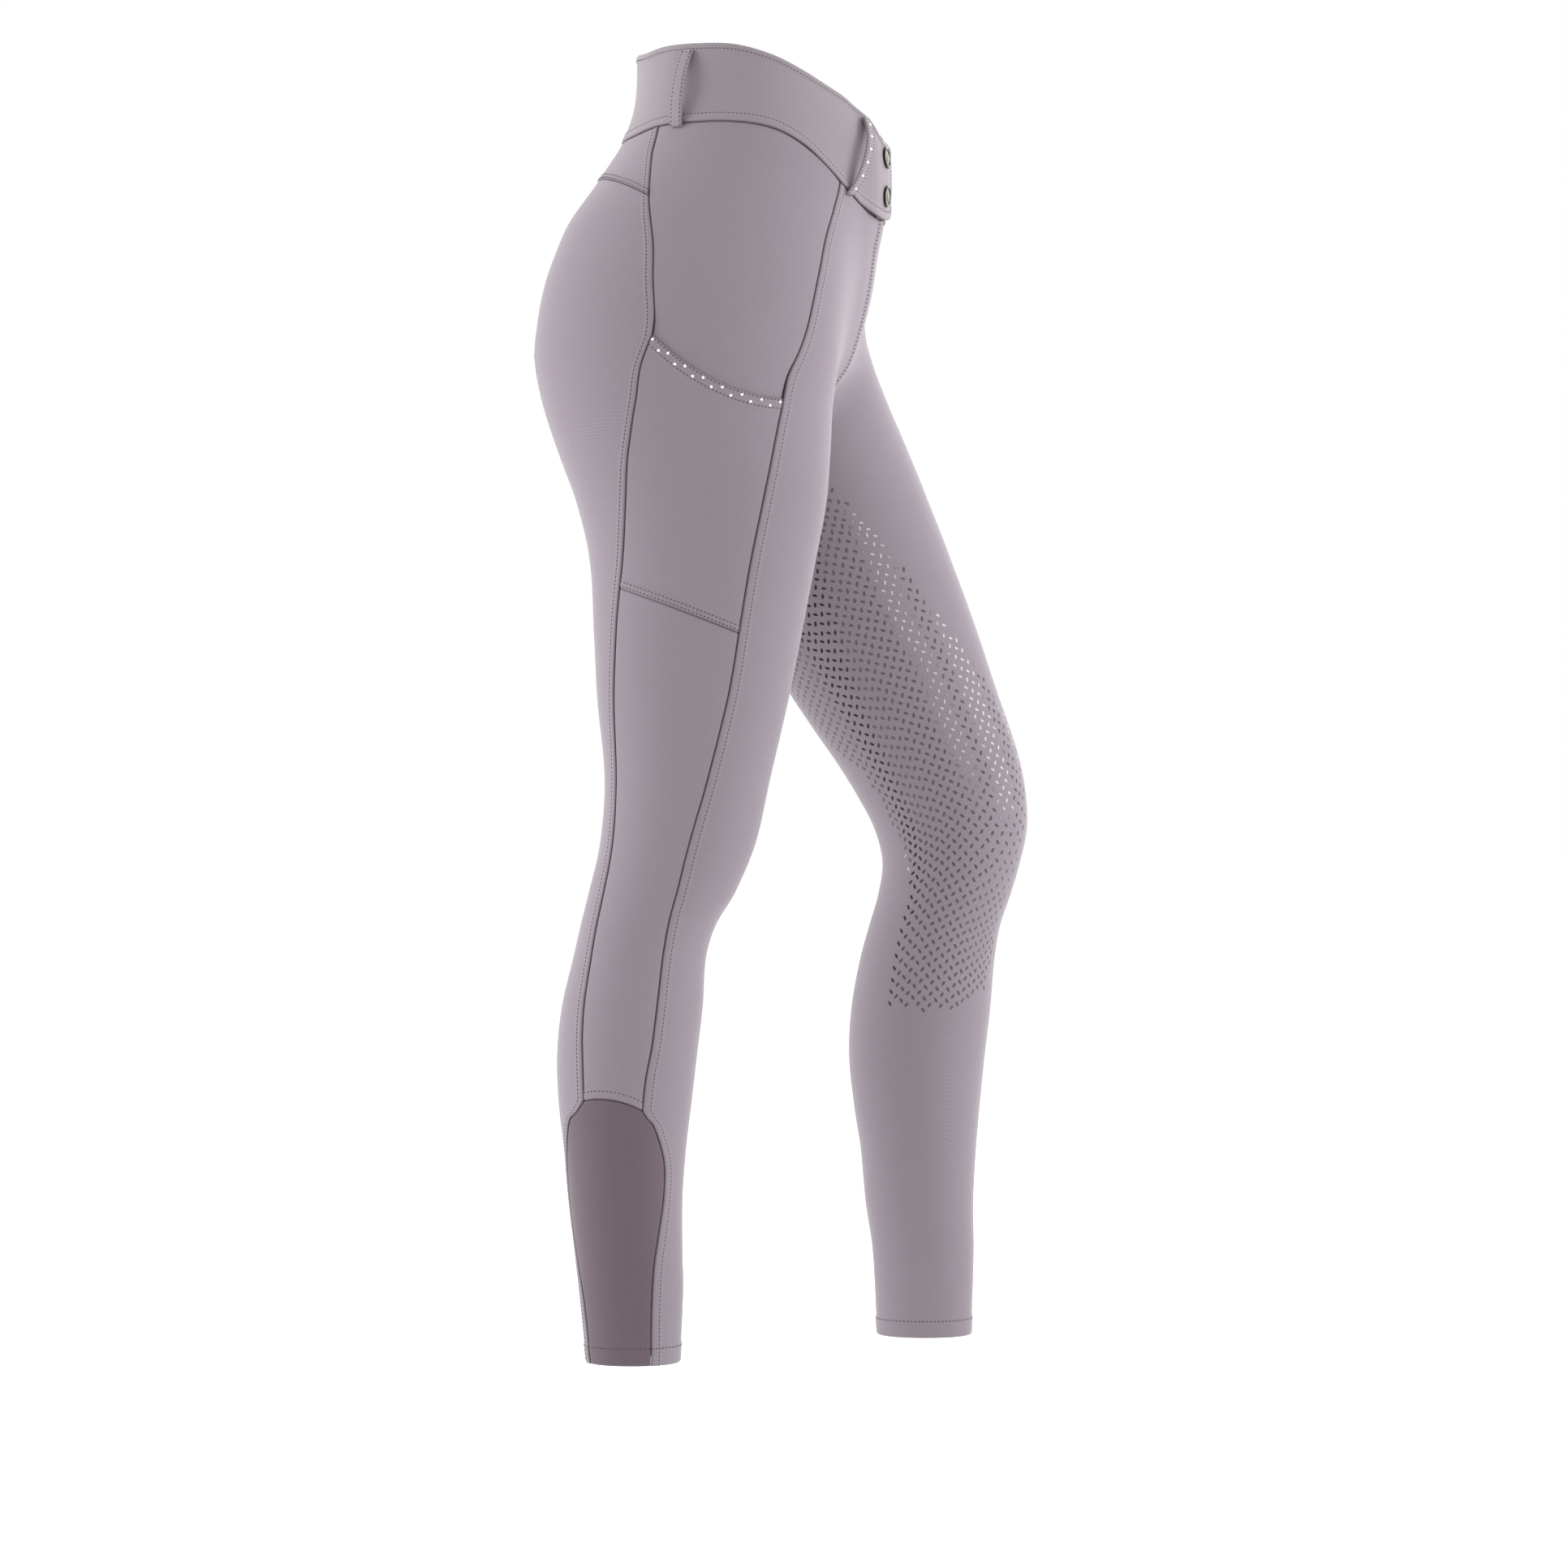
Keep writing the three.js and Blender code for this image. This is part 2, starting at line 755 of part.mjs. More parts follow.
function addSide(group, name, side, centre) {
  const { leg } = side;
  const { frontGrid, backGrid } = legWrapGrids(side, centre.front, centre.back);
  const outwards = backGrid.map((spots) => [...spots].reverse());
  const wrap = [...quadsOf(frontGrid), ...quadsOf(outwards)];
  group.add(piece(name + '_leg_wrap', clothSolid(wrap, clothWall), clothFinish));

  const yoke = yokeGrid(side, centre.yoke, backGrid[0]);
  group.add(piece(name + '_yoke', clothSolid(quadsOf(yoke), clothWall), clothFinish));

  // The hip panel runs on behind the pocket, set in by the pocket's thickness.
  const hip = sideGrid(side, 0, pocketBottomRow, mouthBow);
  const rowOf = new Map(hip.flatMap((spots, row) => spots.map((spot) => [spot, row])));
  const setIn = (spot) => {
    const row = rowOf.get(spot);
    return -(pocketWall + seamGap) * smoothstep(row, openingRow - 2, openingRow);
  };
  group.add(piece(name + '_hip_panel', clothSolid(quadsOf(hip), clothWall, setIn), clothFinish));
  const pocket = hip.slice(openingRow);
  group.add(piece(name + '_pocket', clothSolid(quadsOf(pocket), pocketWall), clothFinish));

  const sidePanel = sideGrid(side, pocketBottomRow, ankleRow);
  sidePanel[0] = hip[pocketBottomRow];
  group.add(piece(name + '_side_panel', clothSolid(quadsOf(sidePanel), clothWall), clothFinish));

  const ankle = sideGrid(side, ankleRow, hemRow);
  ankle[0] = sidePanel[ankleRow - pocketBottomRow];
  group.add(piece(name + '_ankle_panel', clothSolid(quadsOf(ankle), clothWall), elasticFinish));

  // Upper edge of all panels, from the centre front to the centre back, where the waistband meets them.
  return [...frontGrid[0], ...[...hip[0]].reverse().slice(1), ...[...yoke[0]].reverse().slice(1)];
}

// Angle round the waist of a spot, below zero on the left.
function bandColumn(angle, bottom) {
  const top = waistLine.top(Math.abs(angle));
  return rowsOf(0, bandRows).map((row) =>
    row === 0 ? bottom : waistSpot(angle, lerp(bottom.down, top, row / bandRows)),
  );
}

// How far the right end of the waistband is raised, to lie on the left end.
function raisedAt(angle) {
  return (bandWall + seamGap) * (1 - smoothstep(angle, tabRaised.full, tabRaised.none));
}

// One strip from under the tab, round by the left and the back, to the end of the tab on the right.
function waistband(rightEdge, leftEdge) {
  const raised = new Map();
  const edgeAt = (angle) => onBand((down) => waistSpot(angle, down));
  const raise = (column, angle) => {
    column.forEach((spot) => raised.set(spot, raisedAt(angle)));
    return column;
  };
  const under = rightEdge.slice(0, lapColumns).reverse();
  const lap = under.map((spot) => bandColumn(waistAngle(spot), { ...spot }));
  const round = leftEdge.slice(1, -1).map((spot) => bandColumn(waistAngle(spot), spot));
  const over = [...rightEdge].reverse().map((spot) => {
    const angle = Math.abs(waistAngle(spot));
    return raise(bandColumn(angle, spot), angle);
  });
  const tab = raise(bandColumn(tabEnd.from, edgeAt(tabEnd.from)), 0);
  const tip = tab.map((spot, row) => {
    const down = lerp(tab[0].down - tabCorner, tab[bandRows].down + tabCorner, row / bandRows);
    return waistSpot(tabEnd.to, down);
  });
  const columns = [...lap, ...round, ...over, tab, raise(tip, 0)];
  const lift = (spot) => bandLift + (raised.get(spot) ?? 0);
  return piece('waistband', clothSolid(quadsOf(columns), bandWall, lift), bandFinish);
}

// A strip sewn down at its two ends that stands off the waistband between them.
function beltLoop(name, side, place) {
  const top = waistLine.top(place.top) + loop.belowTop;
  const bottom = waistLine.bottom(place.bottom) + loop.pastSeam;
  const steps = 10;
  const grid = rowsOf(0, steps).map((i) => {
    const t = i / steps;
    const base = waistSpot(lerp(place.top, place.bottom, t) * legs[side].sign, lerp(top, bottom, t));
    const along = new THREE.Vector3(0, 0, 1).cross(base.facing).normalize();
    const raised = side === 'right' ? raisedAt(lerp(place.top, place.bottom, t)) : 0;
    const bow = loop.bow * Math.sin(Math.PI * t) ** 0.75;
    const stand = bandLift + raised + place.stand + loop.wall + bow;
    return [-1, 0, 1].map((k) => {
      const place = base.place.clone().addScaledVector(base.facing, stand);
      place.addScaledVector(along, (k * loop.width) / 2);
      return { place, facing: base.facing };
    });
  });
  return piece(name, clothSolid(quadsOf(grid), loop.wall), clothFinish);
}

// Snap cap with a raised rim and a low plain dome.
function snap(name, down) {
  const r = snapRadius;
  const profile = [
    [0, 0],
    [r - 0.3, 0],
    [r, 0.5],
    [r, 1.3],
    [r - 0.5, 1.9],
    [r - 1.3, 1.9],
    [r - 1.9, 1.2],
    [r - 2.6, 1.2],
    [r * 0.4, 1.7],
    [0, 1.9],
  ];
  const points = profile.map(([x, y]) => new THREE.Vector2(x, y));
  const mesh = piece(name, new THREE.LatheGeometry(points, 28), snapFinish);
  const seat = waistSpot(snapAngle, down);
  const lift = bandLift + bandWall + 2 * seamGap;
  mesh.position.copy(seat.place).addScaledVector(seat.facing, lift);
  mesh.quaternion.setFromUnitVectors(new THREE.Vector3(0, 1, 0), seat.facing);
  return mesh;
}

const breeches = new THREE.Group();
const right = layOutSide(legs.right);
const left = layOutSide(legs.left);

const frontTopDown = waistLine.bottom(0);
const bandBottomBack = waistLine.bottom(180);
const centreFront = centreSeam(1, frontTopDown, crotchRow);
const centreBackBelow = centreSeam(-1, yokeDown, crotchRow - yokeRows);
const centreBackAbove = rowsOf(0, yokeRows).map((row) =>
  evened(waistSpot(180, lerp(bandBottomBack, yokeDown, row / yokeRows))),
);
centreBackAbove[yokeRows] = centreBackBelow[0];
const centre = { front: centreFront, back: centreBackBelow, yoke: centreBackAbove };

const rightTop = addSide(breeches, 'right', right, centre);
const leftTop = addSide(breeches, 'left', left, centre);
breeches.add(waistband(rightTop, leftTop));
for (const side of ['right', 'left']) {
  breeches.add(beltLoop(side + '_front_loop', side, frontLoop));
  breeches.add(beltLoop(side + '_back_loop', side, backLoop));
}
snapHeights.forEach((down, i) => breeches.add(snap('snap_' + (i + 1), down)));

export default breeches;
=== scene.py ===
import bmesh
import bpy
import numpy as np
from mathutils import Matrix, Vector


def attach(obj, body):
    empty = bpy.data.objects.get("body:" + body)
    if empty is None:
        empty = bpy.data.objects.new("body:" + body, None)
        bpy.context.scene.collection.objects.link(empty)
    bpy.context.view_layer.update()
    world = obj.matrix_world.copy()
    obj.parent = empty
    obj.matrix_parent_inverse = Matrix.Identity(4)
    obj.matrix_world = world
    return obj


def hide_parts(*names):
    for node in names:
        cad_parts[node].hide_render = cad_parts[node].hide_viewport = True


# Riding breeches in grey-mauve stretch knit, filled out in a walking stance.
# The cloth is worked out in millimetres as (forward, right, down) from the waist ring's centre;
# in the scene forward is -Y, the wearer's right is -X and down is -Z, in metres.

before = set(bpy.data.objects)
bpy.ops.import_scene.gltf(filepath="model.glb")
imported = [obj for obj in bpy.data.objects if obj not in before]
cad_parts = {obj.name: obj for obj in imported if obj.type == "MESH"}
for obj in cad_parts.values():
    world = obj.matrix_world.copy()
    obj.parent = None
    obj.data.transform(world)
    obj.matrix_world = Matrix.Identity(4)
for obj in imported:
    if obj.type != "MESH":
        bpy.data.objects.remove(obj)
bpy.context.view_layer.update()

view = {"place": (-3.315, -0.017, -0.523), "focalPixels": 5262, "imagePixels": 1932}

hips = {
    "down": [-45, 0, 30, 60, 91, 110, 147, 190, 206, 230, 250, 262, 272],
    "front": [82, 87, 94.5, 96.5, 94, 90, 84, 72, 64, 44, 20, -4, -18],
    "back": [-94, -96, -106, -125, -144, -150, -157, -157, -149, -130, -104, -74, -56],
    "half": [116, 120, 127, 138, 149, 153, 156, 148, 140, 122, 98, 72, 54],
}
legWidth = {
    "down": [30, 60, 91, 110, 150, 200, 240, 268, 290, 310, 360, 410, 460, 520, 570, 605, 655,
        700, 740, 780, 840, 900, 960],
    "inner": [20, 8, 2, 0, -1, -2, 2, 8, 14, 18, 23, 25, 28, 30, 31, 30, 29, 28, 30, 34, 42, 49, 52],
    "outer": [95, 122, 143, 152, 168, 176, 177, 174, 171, 167, 158, 151, 145, 138, 133, 130, 129,
        131, 131, 128, 121, 115, 112],
}
rightLeg = {
    "down": [30, 60, 91, 110, 147, 188, 207, 237, 274, 311, 354, 409, 458, 519, 568, 605, 630,
        654, 691, 728, 765, 802, 838, 875, 906, 960],
    "back": [-70, -105, -136, -149, -164, -171, -171, -165, -153, -139.5, -129.7, -126.6, -124.2,
        -118.7, -122.3, -130.9, -137.1, -142.6, -151.2, -154.9, -153.6, -149.3, -145.7, -141.4,
        -138.3, -132.8],
    "front": [40, 52, 58, 60, 62, 60, 58, 54, 52, 49, 41, 30.5, 20.7, 6.6, -4.5, -19.8, -34.6,
        -41.9, -44.4, -48.7, -53, -57.3, -59.7, -59.7, -59.1, -61.6],
}
leftLeg = {
    "down": [30, 60, 91, 110, 147, 190, 222, 261, 299, 351, 403, 454, 480, 506, 532, 558, 584,
        610, 635, 661, 700, 739, 778, 816, 855, 894, 960],
    "back": [-70, -105, -134, -146, -159, -158, -143, -110, -79, -42, -8, 23.5, 40.9, 59, 75.2,
        88.7, 95.2, 92, 84.8, 77.7, 70.6, 68.7, 72.6, 78.4, 82.3, 87.4, 91],
    "front": [40, 55, 64, 68, 76, 88, 100.4, 117.2, 132.7, 152.7, 171.4, 188.2, 197.3, 205, 209.5,
        210.2, 205, 197.3, 188.9, 184.4, 181.1, 176.6, 172.7, 169.5, 167.6, 168, 166],
    "tilt": [0, 0.04, 0.1, 0.14, 0.22, 0.31, 0.37, 0.41, 0.44, 0.44, 0.43, 0.38, 0.33, 0.27, 0.2,
        0.12, 0.05, 0, -0.03, -0.05, -0.06, -0.06, -0.06, -0.06, -0.05, -0.04, 0],
}
backSeam = {
    "down": [34, 85, 122, 147, 189, 219, 243, 279, 315, 363, 399, 459, 519, 568, 604, 653, 689,
        725, 760, 777, 802, 838, 875, 906, 960],
    "share": [0.142, 0.246, 0.314, 0.341, 0.378, 0.354, 0.326, 0.26, 0.202, 0.148, 0.121, 0.095,
        0.077, 0.089, 0.11, 0.146, 0.169, 0.193, 0.21, 0.08, 0.03, 0.012, 0.018, 0.045, 0.06],
}
frontSeam = {
    "down": [34, 68, 104, 142, 179, 203, 234, 277, 313, 361, 407, 458, 519, 568, 604, 629, 653,
        690, 726, 767, 778, 789, 802, 838, 875, 906, 960],
    "share": [0.83, 0.839, 0.832, 0.832, 0.84, 0.847, 0.833, 0.79, 0.75, 0.717, 0.704, 0.689,
        0.632, 0.583, 0.61, 0.655, 0.685, 0.687, 0.68, 0.645, 0.73, 0.79, 0.83, 0.84, 0.76, 0.713,
        0.7],
}
waistLine = {
    "angle": [0, 13, 18, 24, 30, 36, 42, 48, 56, 66, 78, 92, 106, 120, 135, 155, 180],
    "top": [28.9, 28.5, 22.5, 14.5, 8.9, 4, -0.1, -3.1, -7.9, -15.4, -24.4, -31.5, -33.3, -33.9,
        -33, -37, -40],
    "bottom": [87.1, 88.7, 88, 86.9, 84.2, 81, 76.3, 71, 59.4, 43.9, 32.1, 27.6, 27, 27.4, 31, 31,
        29],
}

shape = {
    "clothWall": 1.6,
    "bandWall": 3.0,
    "bandLift": 0.6,
    "pocketWall": 1.3,
    "seamGap": 0.3,
    "hipBlend": 24,
    "gussetFront": 34,
    "gussetBack": 64,
    "hemDown": 960,
    "pivotForward": -35,
    "pivotDown": 180,
    "crotchDown": 264,
    "crotchBow": 20,
    "turnAtWaist": 8,
    "turnAtCrotch": 3,
    "legRoundness": 2.1,
    "frontRoundness": 1.85,
    "backRoundness": 2.25,
    "openingDip": 46,
    "archRise": 4.5,
    "archRows": 1.6,
    "yokeDown": 60,
    "frontColumns": 8,
    "backColumns": 9,
    "sideColumns": 6,
    "fromFront": -100,
    "fromSide": 100,
}
rowAt = {"yoke": 3, "opening": 12, "crotch": 14, "pocketBottom": 20, "ankle": 35, "hem": 44}
seamMarks = {
    "row": [0, 3, 12, 20, 35, 37, 44],
    "back": [0, 85, 192, 377, 760, 777, 960],
    "front": [0, 78, 238, 411, 767, 780, 960],
}
hardRows = [3, 12, 14, 20, 35]  # the lines down a panel may turn at these rows


def smoothstep(x, low, high):
    t = np.clip((x - low) / (high - low), 0, 1)
    return t * t * (3 - 2 * t)


def hermite(t, start, end, slopeStart, slopeEnd):
    rise = start * (2 * t**3 - 3 * t**2 + 1) + end * (3 * t**2 - 2 * t**3)
    return rise + slopeStart * (t**3 - 2 * t**2 + t) + slopeEnd * (t**3 - t**2)


def curve(table, column):
    at, value = np.array(list(table.values())[0], float), np.array(table[column], float)
    ahead = np.minimum(np.arange(len(at)) + 1, len(at) - 1)
    behind = np.maximum(np.arange(len(at)) - 1, 0)
    slope = (value[ahead] - value[behind]) / (at[ahead] - at[behind])
    x = np.arange(at[0], at[-1] + 0.5, 0.5)
    i = np.clip(np.searchsorted(at, x) - 1, 0, len(at) - 2)
    span = at[i + 1] - at[i]
    ends = (value[i], value[i + 1], span * slope[i], span * slope[i + 1])
    smooth = hermite((x - at[i]) / span, *ends)
    return lambda reading: np.interp(reading, x, smooth)


hipCurve = {name: curve(hips, name) for name in ("front", "back", "half")}
widthCurve = {name: curve(legWidth, name) for name in ("inner", "outer")}
seamShare = {"back": curve(backSeam, "share"), "front": curve(frontSeam, "share")}
bandTop, bandBottom = curve(waistLine, "top"), curve(waistLine, "bottom")
legs = {
    "right": {"sign": 1, "front": curve(rightLeg, "front"), "back": curve(rightLeg, "back")},
    "left": {"sign": -1, "front": curve(leftLeg, "front"), "back": curve(leftLeg, "back")},
}
legs["right"]["tilt"] = lambda down: 0 * down
legs["left"]["tilt"] = curve(leftLeg, "tilt")


def turnAt(down):
    blend = smoothstep(down, 120, 270)
    return np.radians(shape["turnAtWaist"] * (1 - blend) + shape["turnAtCrotch"] * blend)


def sectionField(forward, across, halfDepth, halfWidth, roundness):
    reach = np.hypot(forward, across)
    share = (np.abs(forward) / halfDepth) ** roundness + (np.abs(across) / halfWidth) ** roundness
    share = np.maximum(share, 1e-12) ** (1 / roundness)
    middle = -np.minimum(halfDepth, halfWidth)
    return np.where(share < 1e-5, middle, reach - reach / share)


def hipField(forward, right, down):
    turn = turnAt(down)
    along = forward * np.cos(turn) + right * np.sin(turn)
    across = right * np.cos(turn) - forward * np.sin(turn)
    front, back = hipCurve["front"](down), hipCurve["back"](down)
    middle = (front + back) / 2
    roundness = np.where(along > middle, shape["frontRoundness"], shape["backRoundness"])
    half = hipCurve["half"](down)
    field = sectionField(along - middle, across, (front - back) / 2, half, roundness)
    return np.maximum(field, down - shape["crotchDown"])


def legAxis(leg, down):
    forward = (leg["front"](down) + leg["back"](down)) / 2
    return forward, (widthCurve["outer"](down) + widthCurve["inner"](down)) / 2


def legField(leg, forward, right, down):
    axisForward, axisAcross = legAxis(leg, down)
    halfDepth = (leg["front"](down) - leg["back"](down)) / 2
    halfWidth = (widthCurve["outer"](down) - widthCurve["inner"](down)) / 2
    across = right * leg["sign"] - axisAcross
    return sectionField(forward - axisForward, across, halfDepth, halfWidth, shape["legRoundness"])


def softMin(a, b, width):
    h = np.maximum(width - np.abs(a - b), 0) / width
    return np.minimum(a, b) - h * h * width / 4


# The outer surface of the cloth is where this is zero.
def clothField(spot):
    forward, right, down = spot[..., 0], spot[..., 1], spot[..., 2]
    seat = smoothstep(-forward, 10, 100) * (1 - smoothstep(down, 225, 300))
    gusset = shape["gussetFront"] * (1 - seat) + shape["gussetBack"] * seat
    both = [legField(leg, forward, right, down) for leg in legs.values()]
    return softMin(hipField(forward, right, down), softMin(*both, gusset), shape["hipBlend"])


def slopeOf(spot):
    slope = np.zeros(spot.shape)
    for axis in range(3):
        step = np.zeros(3)
        step[axis] = 0.4
        slope[..., axis] = (clothField(spot + step) - clothField(spot - step)) / 0.8
    return slope


def outward(spot):
    slope = slopeOf(spot)
    return slope / np.linalg.norm(slope, axis=-1, keepdims=True)


def settle(spot, rounds=10):
    spot = spot.copy()
    for _ in range(rounds):
        slope = slopeOf(spot)
        steep = (slope**2).sum(-1)
        spot -= slope * np.clip(clothField(spot) / steep, -8, 8)[..., None]
    return spot


# First crossing of the surface from inside along rays, at(t) being the rays' spots.
def crossing(at, count):
    far = np.full(count, 10.0)
    while True:
        inside = (far < 300) & (clothField(at(far)) < 0)
        if not inside.any():
            break
        far[inside] += 10
    near = far - 10
    for _ in range(16):
        middle = (near + far) / 2
        inside = clothField(at(middle)) < 0
        near, far = np.where(inside, middle, near), np.where(inside, far, middle)
    return at((near + far) / 2)


# Spots at angles round a leg: 0 inside, 90 front, 180 outside, 270 back.
def legSpot(leg, angle, down):
    angle, down = (np.array(x, float) for x in np.broadcast_arrays(angle, down))
    forward, across = legAxis(leg, down)
    sine, cosine = np.sin(np.radians(angle)), np.cos(np.radians(angle))

    def at(t):
        return np.stack([forward + t * sine, leg["sign"] * (across - t * cosine), down], -1)

    return crossing(at, down.shape)


def legAngle(leg, spot, lowest):
    forward, axisAcross = legAxis(leg, spot[..., 2])
    across = axisAcross - spot[..., 1] * leg["sign"]
    angle = np.degrees(np.arctan2(spot[..., 0] - forward, across))
    return np.where(angle < lowest, angle + 360, angle)


# Spots at a share of the depth of a leg's outside, from its back edge to its front edge.
def shareSpot(leg, share, down):
    down = np.array(down, float)
    around = legSpot(leg, np.arange(60, 301, 5.0)[None, :], down[:, None])[..., 0]
    target = around.min(1) * (1 - share) + around.max(1) * share
    low, high = np.full(down.shape, 92.0), np.full(down.shape, 268.0)
    for _ in range(18):
        middle = (low + high) / 2
        ahead = legSpot(leg, middle, down)[:, 0] > target
        low, high = np.where(ahead, middle, low), np.where(ahead, high, middle)
    return legSpot(leg, (low + high) / 2, down)


def waistAngle(spot):
    turn = turnAt(spot[..., 2])
    along = spot[..., 0] * np.cos(turn) + spot[..., 1] * np.sin(turn)
    across = spot[..., 1] * np.cos(turn) - spot[..., 0] * np.sin(turn)
    return np.degrees(np.arctan2(across, along))


def waistSpot(angle, down):
    angle, down = (np.array(x, float) for x in np.broadcast_arrays(angle, down))
    way = np.radians(angle) + turnAt(down)

    def at(t):
        return np.stack([t * np.cos(way), t * np.sin(way), down], -1)

    return crossing(at, down.shape)


def onBand(spotAt, count):
    spot = spotAt(np.full(count, 50.0))
    for _ in range(8):
        spot = spotAt((spot[:, 2] + bandBottom(np.abs(waistAngle(spot)))) / 2)
    return spot


def sideSeam(leg, name):
    share = seamShare[name]
    top = onBand(lambda down: shareSpot(leg, share(down), down), 1)
    marks = [top[0, 2], *seamMarks[name][1:]]
    station = np.interp(np.arange(1, rowAt["hem"] + 1), seamMarks["row"], marks)
    halfDepth = (leg["front"](station) - leg["back"](station)) / 2
    down = station - leg["tilt"](station) * halfDepth * (2 * share(station) - 1)
    return np.concatenate([top, shareSpot(leg, share(station), down)])


def centreSeam(towards, topDown, steps):
    def ray(along, down):
        turn = turnAt(down)
        return np.stack([along * np.cos(turn), along * np.sin(turn), down], -1)

    level = np.arange(topDown, shape["pivotDown"], 4.0)
    forward = shape["pivotForward"]
    upper = crossing(lambda t: ray(forward + towards * t, level), level.shape)
    a = np.radians(np.arange(0, 91, 2.0))
    under = lambda t: ray(forward + towards * t * np.cos(a), shape["pivotDown"] + t * np.sin(a))
    spots = np.concatenate([upper, crossing(under, a.shape)])
    length = np.append(0, np.cumsum(np.linalg.norm(np.diff(spots, axis=0), axis=1)))
    at = np.linspace(0, length[-1], steps + 1)
    return np.stack([np.interp(at, length, spots[:, k]) for k in range(3)], -1)


def panelGrid(leg, inner, outer, columns, top, flatRow):
    lowest = shape["fromSide"] if legAngle(leg, outer[0], 100) > 180 else shape["fromFront"]
    u = np.arange(columns + 1) / columns
    i = np.arange(len(inner))[:, None]
    sag = top[:, 2] - (inner[0, 2] * (1 - u) + outer[0, 2] * u)
    start, end = legAngle(leg, inner, lowest)[:, None], legAngle(leg, outer, lowest)[:, None]
    bow = shape["crotchBow"] * 4 * u * (1 - u) * np.exp(-(((i - flatRow) / 2.5) ** 2))
    down = inner[:, 2:] * (1 - u) + outer[:, 2:] * u + sag * np.maximum(0, 1 - i / flatRow) + bow
    grid = legSpot(leg, start * (1 - u) + end * u, down)
    half = -(-columns // 2)
    for j in range(1, half):
        rows = slice(1, flatRow + 2)
        grid[rows, j] = settle(inner[rows] + (grid[rows, half] - inner[rows]) * j / half)
    grid[:, 0], grid[:, -1], grid[0] = inner, outer, top
    return grid


def across(leg, start, end, columns):
    u = np.arange(columns + 1) / columns
    lowest = shape["fromSide"]
    return legAngle(leg, start, lowest) * (1 - u) + legAngle(leg, end, lowest) * u


# The three grids of a leg, in rows from the waistband to the hem: front, back and side.
def layOut(leg):
    crotchRow, yokeRow, hemRow = rowAt["crotch"], rowAt["yoke"], rowAt["hem"]
    back, front = sideSeam(leg, "back"), sideSeam(leg, "front")
    centreFront = centreSeam(1, bandBottom(0), crotchRow)
    centreBack = centreSeam(-1, shape["yokeDown"], crotchRow - yokeRow)
    level = np.linspace(bandBottom(180), shape["yokeDown"], yokeRow + 1)
    centreYoke = np.concatenate([waistSpot(180, level)[:-1], centreBack[:1]])

    crotch = centreFront[-1]
    t = np.arange(1, hemRow - crotchRow + 1) / (hemRow - crotchRow)
    start = legAngle(leg, crotch, shape["fromFront"])
    level = crotch[2] * (1 - t) + shape["hemDown"] * t
    inside = legSpot(leg, start * (1 - smoothstep(t, 0, 0.3)), level)

    n = shape["frontColumns"]
    u = np.arange(n + 1) / n
    angle = legAngle(leg, centreFront[0], -100) * (1 - u) + legAngle(leg, front[0], -100) * u
    top = onBand(lambda down: legSpot(leg, angle, down), n + 1)
    inner = np.concatenate([centreFront, inside])
    frontGrid = panelGrid(leg, inner, front, n, top, crotchRow)

    n = shape["backColumns"]
    u = np.arange(n + 1) / n
    angle = across(leg, centreBack[0], back[yokeRow], n)
    edgeDown = centreBack[0, 2] + (back[yokeRow, 2] - centreBack[0, 2]) * u**2.6
    yokeEdge = legSpot(leg, angle, edgeDown)
    inner = np.concatenate([centreBack[:-1], crotch[None], inside])
    lower = panelGrid(leg, inner, back[yokeRow:], n, yokeEdge, crotchRow - yokeRow)
    angle = across(leg, centreYoke[0], back[0], n)
    top = onBand(lambda down: legSpot(leg, angle, down), n + 1)
    upper = [top]
    for row in range(1, yokeRow):
        share = row / yokeRow
        lean = [legAngle(leg, line, shape["fromSide"]) for line in (top, yokeEdge)]
        level = top[:, 2] * (1 - share) + yokeEdge[:, 2] * share
        spots = legSpot(leg, lean[0] * (1 - share) + lean[1] * share, level)
        spots[0], spots[-1] = centreYoke[row], back[row]
        upper.append(spots)
    backGrid = np.concatenate([np.stack(upper), lower])
    backGrid[0, 0], backGrid[0, -1] = centreYoke[0], back[0]

    n = shape["sideColumns"]
    u = np.arange(n + 1) / n
    rows = np.arange(hemRow + 1)[:, None]
    bottomRow, mouthRow = rowAt["pocketBottom"], rowAt["opening"]
    away = np.where(rows < mouthRow, rows / mouthRow, (bottomRow - rows) / (bottomRow - mouthRow))
    bow = shape["openingDip"] * ((1 - (1 - u) ** 2) - u) * np.maximum(away, 0)
    beside = np.exp(-(((rows - rowAt["ankle"]) / shape["archRows"]) ** 2))
    bow = bow - shape["archRise"] * 4 * u * (1 - u) * beside
    angle = across(leg, back[:, None], front[:, None], n)
    sideGrid = legSpot(leg, angle, back[:, 2:] * (1 - u) + front[:, 2:] * u + bow)
    sideGrid[0] = onBand(lambda down: legSpot(leg, angle[0], down), n + 1)
    sideGrid[:, 0], sideGrid[:, -1] = back, front
    return {"front": frontGrid, "back": backGrid, "side": sideGrid}


# Smooth lines through points (lines, n, 3), read at places counted in points.
def between(points, at, hard=()):
    step = np.diff(points, axis=1)
    before = np.concatenate([step[:, :1], step], 1)
    after = np.concatenate([step, step[:, -1:]], 1)
    slopeIn = (before + after) / 2
    slopeOut = slopeIn.copy()
    for row in hard:
        slopeIn[:, row], slopeOut[:, row] = before[:, row], after[:, row]
    i = np.clip(at.astype(int), 0, points.shape[1] - 2)
    line = np.arange(len(points))[:, None]
    ends = points[line, i], points[line, i + 1], slopeOut[line, i], slopeIn[line, i + 1]
    return hermite((at - i)[..., None], *ends)


def lengthAlong(points):
    steps = np.linalg.norm(np.diff(points, axis=1), axis=2)
    return np.concatenate([np.zeros((len(points), 1)), np.cumsum(steps, 1)], 1)


